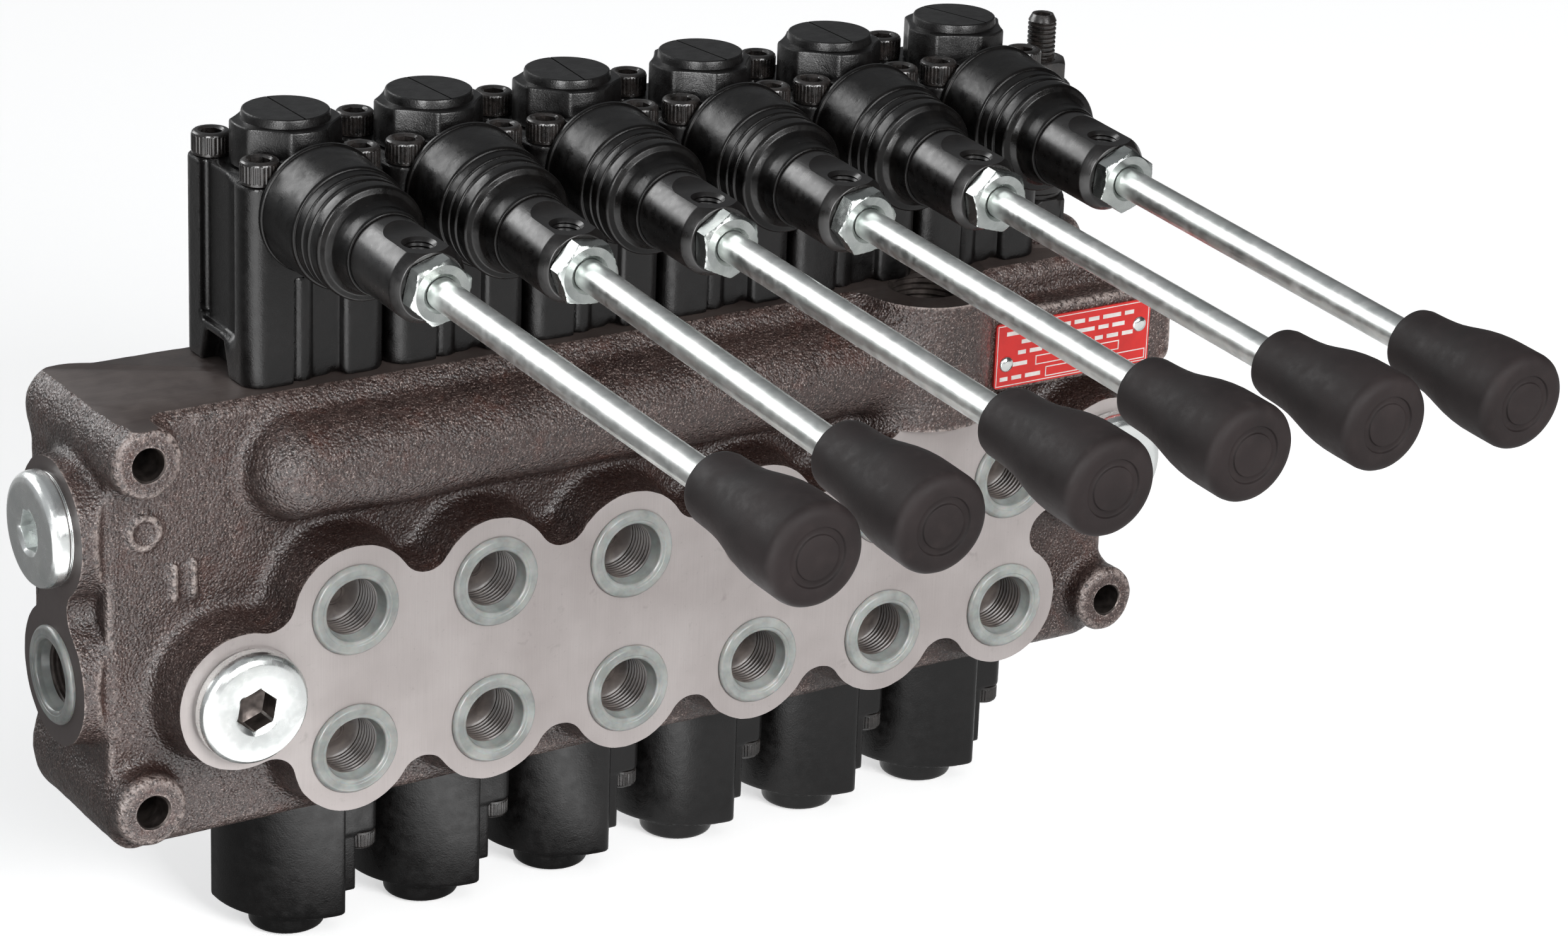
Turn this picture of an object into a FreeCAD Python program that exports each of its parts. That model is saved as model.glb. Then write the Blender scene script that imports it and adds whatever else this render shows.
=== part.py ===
"""Six-spool hydraulic monoblock valve with hand levers.

Frame: origin at the centre of the work-port pattern, on the machined port face.
+X runs along the row of spools, +Y goes into the body from the port face, +Z is up.
Each section has a vertical spool, a lever housing on top and a spring cap below.
All lengths are in millimetres.
"""
import FreeCAD
import Part
import math
import os

V = FreeCAD.Vector
X_AXIS, Y_AXIS, Z_AXIS = V(1, 0, 0), V(0, 1, 0), V(0, 0, 1)

# ---- driving dimensions -------------------------------------------------------------
SECTIONS = 6
PITCH = 40.0                      # spool to spool
SPOOL_Y = 38.0                    # spool axis behind the port face
STATIONS = [(i - (SECTIONS - 1) / 2) * PITCH for i in range(SECTIONS)]

# cast body
TOP_Z, BOTTOM_Z = 73.5, -41.5
WALL_Y, BACK_Y = 14.0, 58.0       # cast front wall and back wall
LEFT_X, RIGHT_X = -161.0, 145.0
CAST_CORNER, CAST_EDGE = 9.0, 2.5
PORT_Z = 19.0                     # work ports sit this far above and below centre
PORT_LOBE_R, PORT_BORE_R, PORT_BORE_DEPTH = 17.0, 8.7, 17.0
PORT_SPOT_R, PLUG_SPOT_R, SPOT_DEPTH = 12.2, 15.0, 0.2     # shallow spot faces round each hole
PASSAGE_R = 6.0
LOBE_VALLEY_R = 6.9
PLUG_LOBE_R, PLUG_BORE_R, PLUG_BORE_DEPTH = 18.0, 10.45, 16.0
LEFT_PLUG_XZ, RIGHT_PLUG_XZ = (-130.0, 0.0), (132.0, 18.0)
END_PAD_X, END_PAD_Y = -168.0, 30.0
END_PLUG_Z, END_PORT_Z, END_PORT_R = 43.0, 3.5, 9.3
GALLERY_R = 7.0
BULGE_Y, BULGE_Z, BULGE_R, BULGE_LEFT = 13.0, 55.0, 13.5, -110.5
INLET_X, INLET_Y, INLET_BOSS_R, INLET_R, INLET_DEPTH = 77.0, 12.0, 18.0, 9.4, 18.0
INLET_CONE_Z, INLET_BOSS_Z, INLET_CONE_R = 24.0, 38.0, 10.0    # boss tapers in between
MOUNT_HOLES_XZ = ((-153.0, 65.0), (-153.0, -27.5), (140.0, -27.5))
MOUNT_BOSS_Y, MOUNT_BOSS_R, MOUNT_HOLE_R = 5.5, 9.3, 4.25
PLATE_PAD = (93.0, 155.5, 41.5, 64.5)       # x and z limits of the nameplate pad
PLATE_PAD_Y, PLATE_PAD_BACK = 5.0, 34.0
RIVETS_XZ = ((99.3, 50.0), (143.6, 54.6))

# spools
SPOOL_R, SPOOL_FIT = 8.0, 0.03
SPOOL_GROOVE_R, SPOOL_NECK_R = 5.6, 5.0
SPOOL_BOTTOM, SPOOL_HEAD_BOTTOM, SPOOL_HEAD_TOP = -36.0, 108.0, 128.2
SEAL_GROOVE_R, SEAL_GROOVE_DEPTH, SEAL_R, SEAL_CORD_R = 10.5, 2.4, 9.25, 1.13
TAIL_R, TAIL_HEAD_R, TAIL_HEAD_TOP, TAIL_HEAD_H = 3.0, 5.0, -70.8, 2.0

# lever housing
HOUSE_X, HOUSE_FRONT, HOUSE_BACK = 19.5, 19.2, 57.3
HOUSE_TOP, HOUSE_CORNER = 125.5, 5.6
HOUSE_BORE_R = 10.0
NECK_R, NECK_TOP = 11.5, 132.0
COLLAR_R, COLLAR_FRONT, COLLAR_BORE_R = 13.0, 12.0, 9.5
SCREW_X, SCREW_YS = 13.75, (24.7, 51.5)
SCREW_R, SCREW_HEAD_R, SCREW_HEAD_H, SCREW_GRIP = 3.0, 5.0, 6.0, 12.0
CAP_R, CAP_RIM_Z, CAP_DISC_R, CAP_TOP_Z = 14.0, 136.6, 11.0, 139.0

# lever
PIVOT_Y, PIVOT_Z, PIN_R, PIN_HALF = 17.0, 118.5, 2.5, 12.6
EYE_R, EYE_HALF, EYE_FIT = 6.0, 5.5, 0.05
ARM_R, BALL_R, BALL_Z, SLOT_FIT = 2.4, 4.0, 119.6, 0.2
SHANK_R, HOLDER_R, ROD_R = 5.0, 10.2, 4.0
HOLDER_START, HOLDER_CHAMFER, HOLDER_END = 28.0, 52.5, 55.2   # along the lever from the pivot
CROSS_HOLE_AT, CROSS_HOLE_R, HOLDER_FLAT = 48.0, 3.4, 8.5
NUT_LENGTH, NUT_FLATS = 5.2, 15.0
GRIP_LENGTH, GRIP_SMALL_R, GRIP_LARGE_R = 41.0, 8.6, 12.0
# the six rods are screwed in to slightly different reaches and set at slightly different angles
LEVER_REACH = (223.0, 211.5, 217.8, 215.8, 214.2, 215.5)
LEVER_DROOP = (2.5, 3.9, 2.8, 2.8, 2.9, 3.2)                   # degrees below horizontal

# rubber boot, along the lever from the pivot
BOOT_BASE_AT, BOOT_BASE_R, BOOT_NECK_AT, BOOT_NECK_R = 4.0, 16.3, 32.6, 10.9
BOOT_SHOULDER_AT, BOOT_SHOULDER_R, BOOT_WALL = 24.0, 14.8, 2.0

# spring cap
CAP_LEFT, CAP_RIGHT, CAP_FRONT, CAP_BACK = -16.0, 10.5, 23.6, 52.0
CAP_BOTTOM, NOSE_BOTTOM, NOSE_R, CAP_BORE_R = -79.0, -84.0, 10.0, 9.2
LUG_BOTTOM, LUG_SCREW, BACK_SCREW = -57.0, (19.0, 34.0), (-8.0, 54.0)
CAP_SCREW_R, CAP_SCREW_HEAD_R, CAP_SCREW_HEAD_H = 2.5, 4.2, 5.0
SPRING_TOP, SPRING_BOTTOM, SPRING_R, WIRE_R, SPRING_TURNS = -46.0, -62.6, 6.6, 0.9, 5
SEAT_T, SEAT_R = 1.6, 8.6

# relief valve
RELIEF_X, RELIEF_Y, RELIEF_R, RELIEF_FLATS, RELIEF_TOP = 129.5, 38.0, 8.6, 17.0, 117.0
RELIEF_BOSS_R, RELIEF_BOSS_TOP = 13.5, 77.0
ADJUSTER_R, ADJUSTER_TOP, LOCK_NUT_FLATS, LOCK_NUT_H = 3.9, 135.8, 13.0, 6.5

# load checks in the back of the body
CHECK_Z, CHECK_BOSS_R, CHECK_BOSS_Y, CHECK_BORE_R = 48.0, 14.0, 60.5, 8.2


# ---- shape helpers ------------------------------------------------------------------
def rod(radius, start, end):
    """Cylinder from point start to point end."""
    run = end - start
    return Part.makeCylinder(radius, run.Length, start, run)


def upright(radius, x, y, z_low, z_high):
    return rod(radius, V(x, y, z_low), V(x, y, z_high))


def through(radius, x, z, y_front, y_back):
    return rod(radius, V(x, y_front, z), V(x, y_back, z))


def block(x0, x1, y0, y1, z0, z1):
    return Part.makeBox(x1 - x0, y1 - y0, z1 - z0, V(x0, y0, z0))


def edges_along(shape, direction, keep=lambda middle: True):
    """Straight edges parallel to direction whose middle point passes keep."""
    found = []
    for edge in shape.Edges:
        ends = [v.Point for v in edge.Vertexes]
        if len(ends) == 2 and edge.Curve.TypeId == "Part::GeomLine":
            run = (ends[1] - ends[0]).normalize()
            if abs(run.dot(direction)) > 0.999 and keep((ends[0] + ends[1]) * 0.5):
                found.append(edge)
    return found


def rounded(shape, radius, direction, keep=lambda middle: True):
    return shape.makeFillet(radius, edges_along(shape, direction, keep))


def fuse(shapes):
    return shapes[0].multiFuse(shapes[1:]).removeSplitter()


def hexagon(flats, centre, axis, length):
    """Hexagonal prism with a flat facing +Y or +Z."""
    side = V(1, 0, 0) if abs(axis.x) < 0.5 else V(0, 1, 0)
    other = axis.cross(side).normalize()
    side = other.cross(axis).normalize()
    corner_r = flats / math.sqrt(3)
    ring = []
    for k in range(7):
        angle = math.radians(60 * k)
        ring.append(centre + side * (corner_r * math.cos(angle)) + other * (corner_r * math.sin(angle)))
    return Part.Face(Part.makePolygon(ring)).extrude(V(axis).normalize() * length)


def hex_nut(flats, centre, axis, length, hole_r):
    """Hexagon nut with rounded-off corners at both ends and a plain hole."""
    nut = hexagon(flats, centre, axis, length)
    unit = V(axis).normalize()
    outer = flats / math.sqrt(3)
    barrel = Part.makeCylinder(outer, length, centre, unit)
    rims = [e for e in barrel.Edges if e.Curve.TypeId == "Part::GeomCircle"]
    barrel = barrel.makeChamfer(0.6 * (outer - flats / 2), rims)
    return nut.common(barrel).cut(Part.makeCylinder(hole_r, length, centre, unit))


def cap_screw(head_base, axis, shank_r, shank, head_r, head_h):
    """Socket head cap screw; axis points from the head towards the thread."""
    unit = V(axis).normalize()
    top = head_base - unit * head_h
    head = Part.makeCylinder(head_r, head_h, top, unit)
    head = head.makeChamfer(0.4, [e for e in head.Edges if e.CenterOfMass.distanceToPoint(top) < 0.1])
    socket = hexagon(head_r, top, unit, head_h * 0.55)
    return fuse([head.cut(socket), Part.makeCylinder(shank_r, shank, head_base, unit)])


def revolve_on(profile, start, axis):
    """Revolve (distance along axis, radius) points about the axis through start."""
    unit = V(axis).normalize()
    side = unit.cross(X_AXIS).normalize() if abs(unit.x) < 0.9 else unit.cross(Y_AXIS).normalize()
    points = [start + unit * along + side * radius for along, radius in profile]
    face = Part.Face(Part.makePolygon(points + points[:1]))
    return face.revolve(start, unit, 360)


# ---- cast body ----------------------------------------------------------------------
def valley_between(first, first_r, second, second_r, radius, side):
    """Centre of a circle tangent to two lobes, on the given side of the line joining them."""
    dx, dz = second[0] - first[0], second[1] - first[1]
    gap = math.hypot(dx, dz)
    a, b = first_r + radius, second_r + radius
    along = (a * a - b * b + gap * gap) / (2 * gap)
    off = side * math.sqrt(a * a - along * along)
    return (first[0] + (along * dx - off * dz) / gap, first[1] + (along * dz + off * dx) / gap)


def web_between(first, first_r, second, second_r, radius, side):
    """Outline points of the web that bridges two lobes up to their valley circle."""
    centre = valley_between(first, first_r, second, second_r, radius, side)
    touches = []
    for lobe, lobe_r in ((first, first_r), (second, second_r)):
        share = lobe_r / (lobe_r + radius)
        touches.append((lobe[0] + (centre[0] - lobe[0]) * share, lobe[1] + (centre[1] - lobe[1]) * share))
    return [first, touches[0], touches[1], second], centre


def lobed_pad(lobes, joins, place, sweep, core=()):
    """Pad of round lobes joined by webs; place maps (u, v) to a point, sweep is its depth."""
    solids = [Part.makeCylinder(r, sweep.Length, place(*c), sweep) for c, r in lobes] + list(core)
    valleys = []
    for i, j, side, valley_r in joins:
        outline, centre = web_between(*lobes[i], *lobes[j], valley_r, side)
        ring = [place(*point) for point in outline]
        solids.append(Part.Face(Part.makePolygon(ring + ring[:1])).extrude(sweep))
        valleys.append(Part.makeCylinder(valley_r, sweep.Length, place(*centre), sweep))
    pad = solids[0].multiFuse(solids[1:])
    for valley in valleys:
        pad = pad.cut(valley)
    return pad


def port_pad():
    """Machined pad that carries the work ports and the two front plugs."""
    lobes = [((x, z), PORT_LOBE_R) for z in (PORT_Z, -PORT_Z) for x in STATIONS]
    lobes += [(LEFT_PLUG_XZ, PLUG_LOBE_R), (RIGHT_PLUG_XZ, PLUG_LOBE_R)]
    upper, lower = range(0, SECTIONS), range(SECTIONS, 2 * SECTIONS)
    left, right = 2 * SECTIONS, 2 * SECTIONS + 1
    joins = [(i, i + 1, 1, LOBE_VALLEY_R) for i in upper[:-1]]
    joins += [(i, i + 1, -1, LOBE_VALLEY_R) for i in lower[:-1]]
    joins += [(left, upper[0], 1, LOBE_VALLEY_R), (left, lower[0], -1, LOBE_VALLEY_R)]
    joins += [(upper[-1], right, side, LOBE_VALLEY_R) for side in (1, -1)]
    joins += [(upper[-1], lower[-1], 1, LOBE_VALLEY_R)]
    depth = V(0, WALL_Y + 1.0, 0)
    core = [block(STATIONS[0] - 22, STATIONS[-1], 0, depth.y, -PORT_Z, PORT_Z)]
    return lobed_pad(lobes, joins, lambda x, z: V(x, 0, z), depth, core)


def end_pad():
    """Machined figure-of-eight pad on the left end."""
    lobes = [((END_PAD_Y, END_PLUG_Z), PLUG_LOBE_R), ((END_PAD_Y, END_PORT_Z), PLUG_LOBE_R)]
    joins = [(0, 1, side, LOBE_VALLEY_R) for side in (1, -1)]
    return lobed_pad(lobes, joins, lambda y, z: V(END_PAD_X, y, z), V(20, 0, 0))


def cast_block():
    """Main casting block with rounded corners and softened front and back edges."""
    solid = block(LEFT_X, RIGHT_X, WALL_Y, BACK_Y, BOTTOM_Z, TOP_Z)
    solid = rounded(solid, CAST_CORNER, Y_AXIS)
    rim = [e for e in solid.Edges if abs(e.BoundBox.YMin - e.BoundBox.YMax) < 1e-6]
    return solid.makeFillet(CAST_EDGE, rim)


def plate_pad():
    x0, x1, z0, z1 = PLATE_PAD
    pad = block(x0, x1, PLATE_PAD_Y, PLATE_PAD_BACK, z0, z1)
    return rounded(pad, 4.0, Y_AXIS)


def body_bosses():
    """Everything that stands out of the main block, before drilling."""
    bulge = rod(BULGE_R, V(BULGE_LEFT, BULGE_Y, BULGE_Z), V(INLET_X, BULGE_Y, BULGE_Z))
    bulge_end = Part.makeSphere(BULGE_R, V(BULGE_LEFT, BULGE_Y, BULGE_Z))
    inlet = upright(INLET_BOSS_R, INLET_X, INLET_Y, INLET_BOSS_Z, TOP_Z)
    taper = Part.makeCone(INLET_CONE_R, INLET_BOSS_R, INLET_BOSS_Z - INLET_CONE_Z,
                          V(INLET_X, INLET_Y, INLET_CONE_Z))
    relief = upright(RELIEF_BOSS_R, RELIEF_X, RELIEF_Y, TOP_Z - 10, RELIEF_BOSS_TOP)
    relief = relief.makeFillet(2.5, [e for e in relief.Edges if e.BoundBox.ZMin > RELIEF_BOSS_TOP - 0.1])
    mounts = [through(MOUNT_BOSS_R, x, z, MOUNT_BOSS_Y, BACK_Y) for x, z in MOUNT_HOLES_XZ]
    checks = [through(CHECK_BOSS_R, x, CHECK_Z, BACK_Y - 5, CHECK_BOSS_Y) for x in STATIONS]
    return [bulge, bulge_end, inlet, taper, relief, plate_pad(), port_pad(), end_pad()] + mounts + checks


def body_holes():
    """Bores, ports, galleries and screw holes of the cast body."""
    holes = []
    for x in STATIONS:
        holes.append(upright(SPOOL_R + SPOOL_FIT, x, SPOOL_Y, BOTTOM_Z - 1, TOP_Z + 1))
        holes.append(upright(SEAL_GROOVE_R, x, SPOOL_Y, TOP_Z - SEAL_GROOVE_DEPTH, TOP_Z + 1))
        holes.append(upright(SEAL_GROOVE_R, x, SPOOL_Y, BOTTOM_Z - 1, BOTTOM_Z + SEAL_GROOVE_DEPTH))
        for z in (PORT_Z, -PORT_Z):
            holes.append(through(PORT_BORE_R, x, z, -1, PORT_BORE_DEPTH))
            holes.append(through(PORT_SPOT_R, x, z, -1, SPOT_DEPTH))
            holes.append(through(PASSAGE_R, x, z, 0, SPOOL_Y))
        holes.append(through(CHECK_BORE_R, x, CHECK_Z, SPOOL_Y, CHECK_BOSS_Y + 1))
        for dx in (-SCREW_X, SCREW_X):
            for y in SCREW_YS:
                holes.append(upright(SCREW_R + 0.02, x + dx, y, TOP_Z - SCREW_GRIP - 1, TOP_Z + 1))
        for dx, y in (LUG_SCREW, BACK_SCREW):
            holes.append(upright(CAP_SCREW_R + 0.02, x + dx, y, BOTTOM_Z - 1, BOTTOM_Z + 10))
    for x, z in (LEFT_PLUG_XZ, RIGHT_PLUG_XZ):
        holes.append(through(PLUG_BORE_R, x, z, -1, PLUG_BORE_DEPTH))
        holes.append(through(PLUG_SPOT_R, x, z, -1, SPOT_DEPTH))
    for x, z in MOUNT_HOLES_XZ:
        holes.append(through(MOUNT_HOLE_R, x, z, MOUNT_BOSS_Y - 1, BACK_Y + 1))
    for z, r in ((END_PLUG_Z, PLUG_BORE_R), (END_PORT_Z, END_PORT_R)):
        holes.append(rod(r, V(END_PAD_X - 1, END_PAD_Y, z), V(END_PAD_X + PLUG_BORE_DEPTH, END_PAD_Y, z)))
        holes.append(rod(GALLERY_R, V(END_PAD_X, END_PAD_Y, z), V(STATIONS[-1], END_PAD_Y, z)))
    holes.append(upright(INLET_R, INLET_X, INLET_Y, TOP_Z - INLET_DEPTH, TOP_Z + 1))
    holes.append(upright(6.0, RELIEF_X, RELIEF_Y, TOP_Z - 24, RELIEF_BOSS_TOP + 1))
    return holes


def valve_body():
    solid = cast_block().multiFuse(body_bosses())
    over_top = block(LEFT_X - 20, STATIONS[-1] + HOUSE_X + 0.2, -10, BACK_Y + 10, TOP_Z, TOP_Z + 20)
    solid = solid.cut(over_top)
    for hole in body_holes():
        solid = solid.cut(hole)
    return solid.removeSplitter()


# ---- plugs, plate and relief valve --------------------------------------------------
def port_cap(centre, inward, flange_r, bore_r):
    """Hollow plastic transit cap for a port: flange outside, thin closed cup inside."""
    unit = V(inward).normalize()
    lip, wall, depth = 1.5, 0.9, 13.0
    cap_r = bore_r - 0.05
    profile = [(-lip, cap_r - wall), (-lip, flange_r - 0.5), (-lip + 0.5, flange_r), (0, flange_r),
               (0, cap_r), (depth, cap_r), (depth, 0), (depth - wall, 0), (depth - wall, cap_r - wall)]
    return revolve_on(profile, centre, unit)


def port_plugs():
    caps = []
    for x in STATIONS:
        for z in (PORT_Z, -PORT_Z):
            caps.append(port_cap(V(x, SPOT_DEPTH, z), Y_AXIS, 12.0, PORT_BORE_R))
    caps.append(port_cap(V(END_PAD_X, END_PAD_Y, END_PORT_Z), X_AXIS, 12.7, END_PORT_R))
    return Part.makeCompound(caps)


def socket_plug(centre, inward, thread_r, flange_r, face_r, head, depth=14.0):
    """Steel plug with a rounded head, a hexagon socket and a threaded shank."""
    unit = V(inward).normalize()
    profile = [(-head, 0), (-head, face_r), (-head + 0.5, face_r + 0.9), (-head + 1.6, flange_r - 0.7),
               (-head + 2.8, flange_r), (0, flange_r), (0, thread_r), (depth - 1, thread_r), (depth, thread_r - 1),
               (depth, 0)]
    plug = revolve_on(profile, centre, unit)
    return plug.cut(hexagon(10.0, centre - unit * head, unit, 7.0))


def gallery_plugs():
    places = [(V(x, SPOT_DEPTH, z), Y_AXIS) for x, z in (LEFT_PLUG_XZ, RIGHT_PLUG_XZ)]
    places.append((V(END_PAD_X, END_PAD_Y, END_PLUG_Z), X_AXIS))
    return Part.makeCompound([socket_plug(p, d, PLUG_BORE_R - 0.05, 14.8, 12.2, 6.5) for p, d in places])


def load_check_plugs():
    plugs = []
    for x in STATIONS:
        centre = V(x, CHECK_BOSS_Y, CHECK_Z)
        plugs.append(socket_plug(centre, V(0, -1, 0), CHECK_BORE_R - 0.05, 11.5, 9.4, 4.5, 12.0))
    return Part.makeCompound(plugs)


def nameplate():
    plate = block(95.6, 147.2, PLATE_PAD_Y - 0.8, PLATE_PAD_Y, 43.2, 61.6)
    for x, z in RIVETS_XZ:
        plate = plate.cut(through(1.3, x, z, 0, 10))
    return plate


def nameplate_rivets():
    rivets = []
    for x, z in RIVETS_XZ:
        dome = Part.makeSphere(3.2, V(x, PLATE_PAD_Y + 1.4, z))
        dome = dome.common(block(x - 5, x + 5, 0, PLATE_PAD_Y - 0.8, z - 5, z + 5))
        rivets.append(dome.fuse(through(1.28, x, z, PLATE_PAD_Y - 0.8, PLATE_PAD_Y)).removeSplitter())
    return Part.makeCompound(rivets)


def relief_valve():
    """Relief valve sleeve: threaded root in the body, round barrel with a hexagon band."""
    barrel = upright(RELIEF_R, RELIEF_X, RELIEF_Y, RELIEF_BOSS_TOP, RELIEF_TOP)
    barrel = barrel.makeChamfer(1.0, [e for e in barrel.Edges if e.BoundBox.ZMin > RELIEF_TOP - 0.1])
    band = hexagon(RELIEF_FLATS, V(RELIEF_X, RELIEF_Y, RELIEF_BOSS_TOP), Z_AXIS, 8.0)
    root = upright(5.95, RELIEF_X, RELIEF_Y, TOP_Z - 22, RELIEF_BOSS_TOP)
    solid = fuse([barrel, band, root])
    return solid.cut(upright(ADJUSTER_R + 0.05, RELIEF_X, RELIEF_Y, RELIEF_TOP - 24, RELIEF_TOP + 1))


def relief_lock_nut():
    return hex_nut(LOCK_NUT_FLATS, V(RELIEF_X, RELIEF_Y, RELIEF_TOP), Z_AXIS, LOCK_NUT_H, ADJUSTER_R + 0.05)


def relief_adjuster():
    """Set screw with a hexagon socket and thread grooves on its exposed length."""
    screw = upright(ADJUSTER_R, RELIEF_X, RELIEF_Y, RELIEF_TOP - 22, ADJUSTER_TOP)
    screw = screw.makeChamfer(0.8, [e for e in screw.Edges if e.BoundBox.ZMin > ADJUSTER_TOP - 0.1])
    screw = screw.cut(hexagon(4.0, V(RELIEF_X, RELIEF_Y, ADJUSTER_TOP - 5), Z_AXIS, 6))
    pitch, groove_z = 1.25, RELIEF_TOP + LOCK_NUT_H + 0.6
    while groove_z < ADJUSTER_TOP - 1.6:
        ring = revolve_on([(0, ADJUSTER_R + 0.1), (pitch / 2, ADJUSTER_R - 0.65), (pitch, ADJUSTER_R + 0.1)],
                          V(RELIEF_X, RELIEF_Y, groove_z), Z_AXIS)
        screw = screw.cut(ring)
        groove_z += pitch
    return screw


# ---- section parts ------------------------------------------------------------------
def spool(x):
    """Spool with grooved lands, a slotted head for the lever ball and a spring tail."""
    profile = [(SPOOL_BOTTOM, 0), (SPOOL_BOTTOM, SPOOL_R)]
    for low, high in ((-24, -14), (-6, 6), (14, 24), (44, 54)):
        profile += [(low, SPOOL_R), (low, SPOOL_GROOVE_R), (high, SPOOL_GROOVE_R), (high, SPOOL_R)]
    profile += [(TOP_Z + 7, SPOOL_R), (TOP_Z + 7, SPOOL_NECK_R), (SPOOL_HEAD_BOTTOM, SPOOL_NECK_R),
                (SPOOL_HEAD_BOTTOM, SPOOL_R - 0.5), (SPOOL_HEAD_BOTTOM + 0.5, SPOOL_R),
                (SPOOL_HEAD_TOP - 0.5, SPOOL_R), (SPOOL_HEAD_TOP, SPOOL_R - 0.5), (SPOOL_HEAD_TOP, 0)]
    solid = revolve_on(profile, V(x, SPOOL_Y, 0), Z_AXIS)
    reach = BALL_R + SLOT_FIT
    slot = block(x - BALL_R - 0.3, x + BALL_R + 0.3, SPOOL_Y - 12, SPOOL_Y + reach, BALL_Z - reach,
                 BALL_Z + reach)
    mouth = block(x - BALL_R - 0.3, x + BALL_R + 0.3, SPOOL_Y - 12, SPOOL_Y - 4, BALL_Z - 6.6, BALL_Z + 6.6)
    tail = upright(TAIL_R, x, SPOOL_Y, TAIL_HEAD_TOP, SPOOL_BOTTOM)
    tail_head = upright(TAIL_HEAD_R, x, SPOOL_Y, TAIL_HEAD_TOP - TAIL_HEAD_H, TAIL_HEAD_TOP)
    return fuse([solid.cut(slot).cut(mouth), tail, tail_head])


def side_pocket(x, side):
    """Recessed panel and bottom arch on one side of a housing."""
    outer, inner, deep = HOUSE_X + 1, HOUSE_X - 2.2, HOUSE_X - 4.0
    panel = block(*sorted((x + side * inner, x + side * outer)), 30.5, 46.0, 86.0, 122.0)
    arch = block(*sorted((x + side * deep, x + side * outer)), 31.5, 45.0, TOP_Z - 1, 84.0)
    return [panel, rounded(arch, 4.0, X_AXIS, lambda m: m.z > 80)]


def hood(x):
    """Low roof over the lever opening, in front of the screw cap."""
    roof = [(-9.5, HOUSE_TOP - 2), (-9, 130.6), (0.5, 132.4), (9, 130.6), (9.5, HOUSE_TOP - 2)]
    ring = [V(x + dx, HOUSE_FRONT - 0.7, z) for dx, z in roof]
    solid = Part.Face(Part.makePolygon(ring + ring[:1])).extrude(V(0, 8, 0))
    return solid.cut(upright(CAP_R + 0.1, x, SPOOL_Y, HOUSE_TOP, HOUSE_TOP + 20))


def lever_housing(x):
    shell = block(x - HOUSE_X, x + HOUSE_X, HOUSE_FRONT, HOUSE_BACK, TOP_Z, HOUSE_TOP)
    shell = rounded(shell, HOUSE_CORNER, Z_AXIS)
    collar = rod(COLLAR_R, V(x, COLLAR_FRONT, PIVOT_Z), V(x, HOUSE_FRONT + 4, PIVOT_Z))
    neck = upright(NECK_R, x, SPOOL_Y, HOUSE_TOP - 1, NECK_TOP)
    solid = fuse([shell, collar, hood(x), neck])
    cuts = side_pocket(x, -1) + side_pocket(x, 1)
    cuts.append(block(x - 7.0, x + 6.6, HOUSE_FRONT - 1, HOUSE_FRONT + 1.4, TOP_Z - 1, 101.0))
    cuts.append(upright(HOUSE_BORE_R, x, SPOOL_Y, TOP_Z - 1, HOUSE_TOP))
    cuts.append(upright(NECK_R - 1.9, x, SPOOL_Y, HOUSE_TOP - 1, NECK_TOP + 1))
    cuts.append(rod(COLLAR_BORE_R, V(x, COLLAR_FRONT - 1, PIVOT_Z), V(x, HOUSE_FRONT + 3, PIVOT_Z)))
    cuts.append(block(x - 6.5, x + 6.5, HOUSE_FRONT + 2, SPOOL_Y, 110.0, HOUSE_TOP - 0.2))
    cuts.append(rod(PIN_R + 0.02, V(x - PIN_HALF, PIVOT_Y, PIVOT_Z), V(x + PIN_HALF, PIVOT_Y, PIVOT_Z)))
    for dx in (-SCREW_X, SCREW_X):
        for y in SCREW_YS:
            cuts.append(upright(SCREW_R + 0.02, x + dx, y, TOP_Z - 1, HOUSE_TOP + 1))
            cuts.append(upright(SCREW_HEAD_R + 0.15, x + dx, y, HOUSE_TOP, HOUSE_TOP + 20))
    for piece in cuts:
        solid = solid.cut(piece)
    bar = rod(1.5, V(x - 4.5, HOUSE_FRONT + 1.6, TOP_Z), V(x - 4.5, HOUSE_FRONT + 1.6, 101.2))
    return solid.fuse(bar).removeSplitter()


def housing_cap(x):
    """Round screw cap over the spool head, with a raised disc and a fine slot."""
    inner, roof = NECK_R + 0.05, 134.8
    profile = [(HOUSE_TOP + 0.1, inner), (HOUSE_TOP + 0.1, CAP_R), (CAP_RIM_Z - 0.8, CAP_R),
               (CAP_RIM_Z, CAP_R - 0.8), (CAP_RIM_Z, CAP_DISC_R), (CAP_TOP_Z - 0.6, CAP_DISC_R),
               (CAP_TOP_Z, CAP_DISC_R - 0.6), (CAP_TOP_Z, 0), (roof, 0), (roof, inner)]
    cap = revolve_on(profile, V(x, SPOOL_Y, 0), Z_AXIS)
    for k in range(4):
        angle = math.radians(45 + 90 * k)
        cx, cy = x + 29.0 * math.cos(angle), SPOOL_Y + 29.0 * math.sin(angle)
        cap = cap.cut(upright(16.0, cx, cy, HOUSE_TOP, CAP_RIM_Z - 2))
    return cap.cut(block(x - 0.3, x + 0.3, SPOOL_Y - 12, SPOOL_Y + 12, CAP_TOP_Z - 0.5, CAP_TOP_Z + 1))


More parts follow.
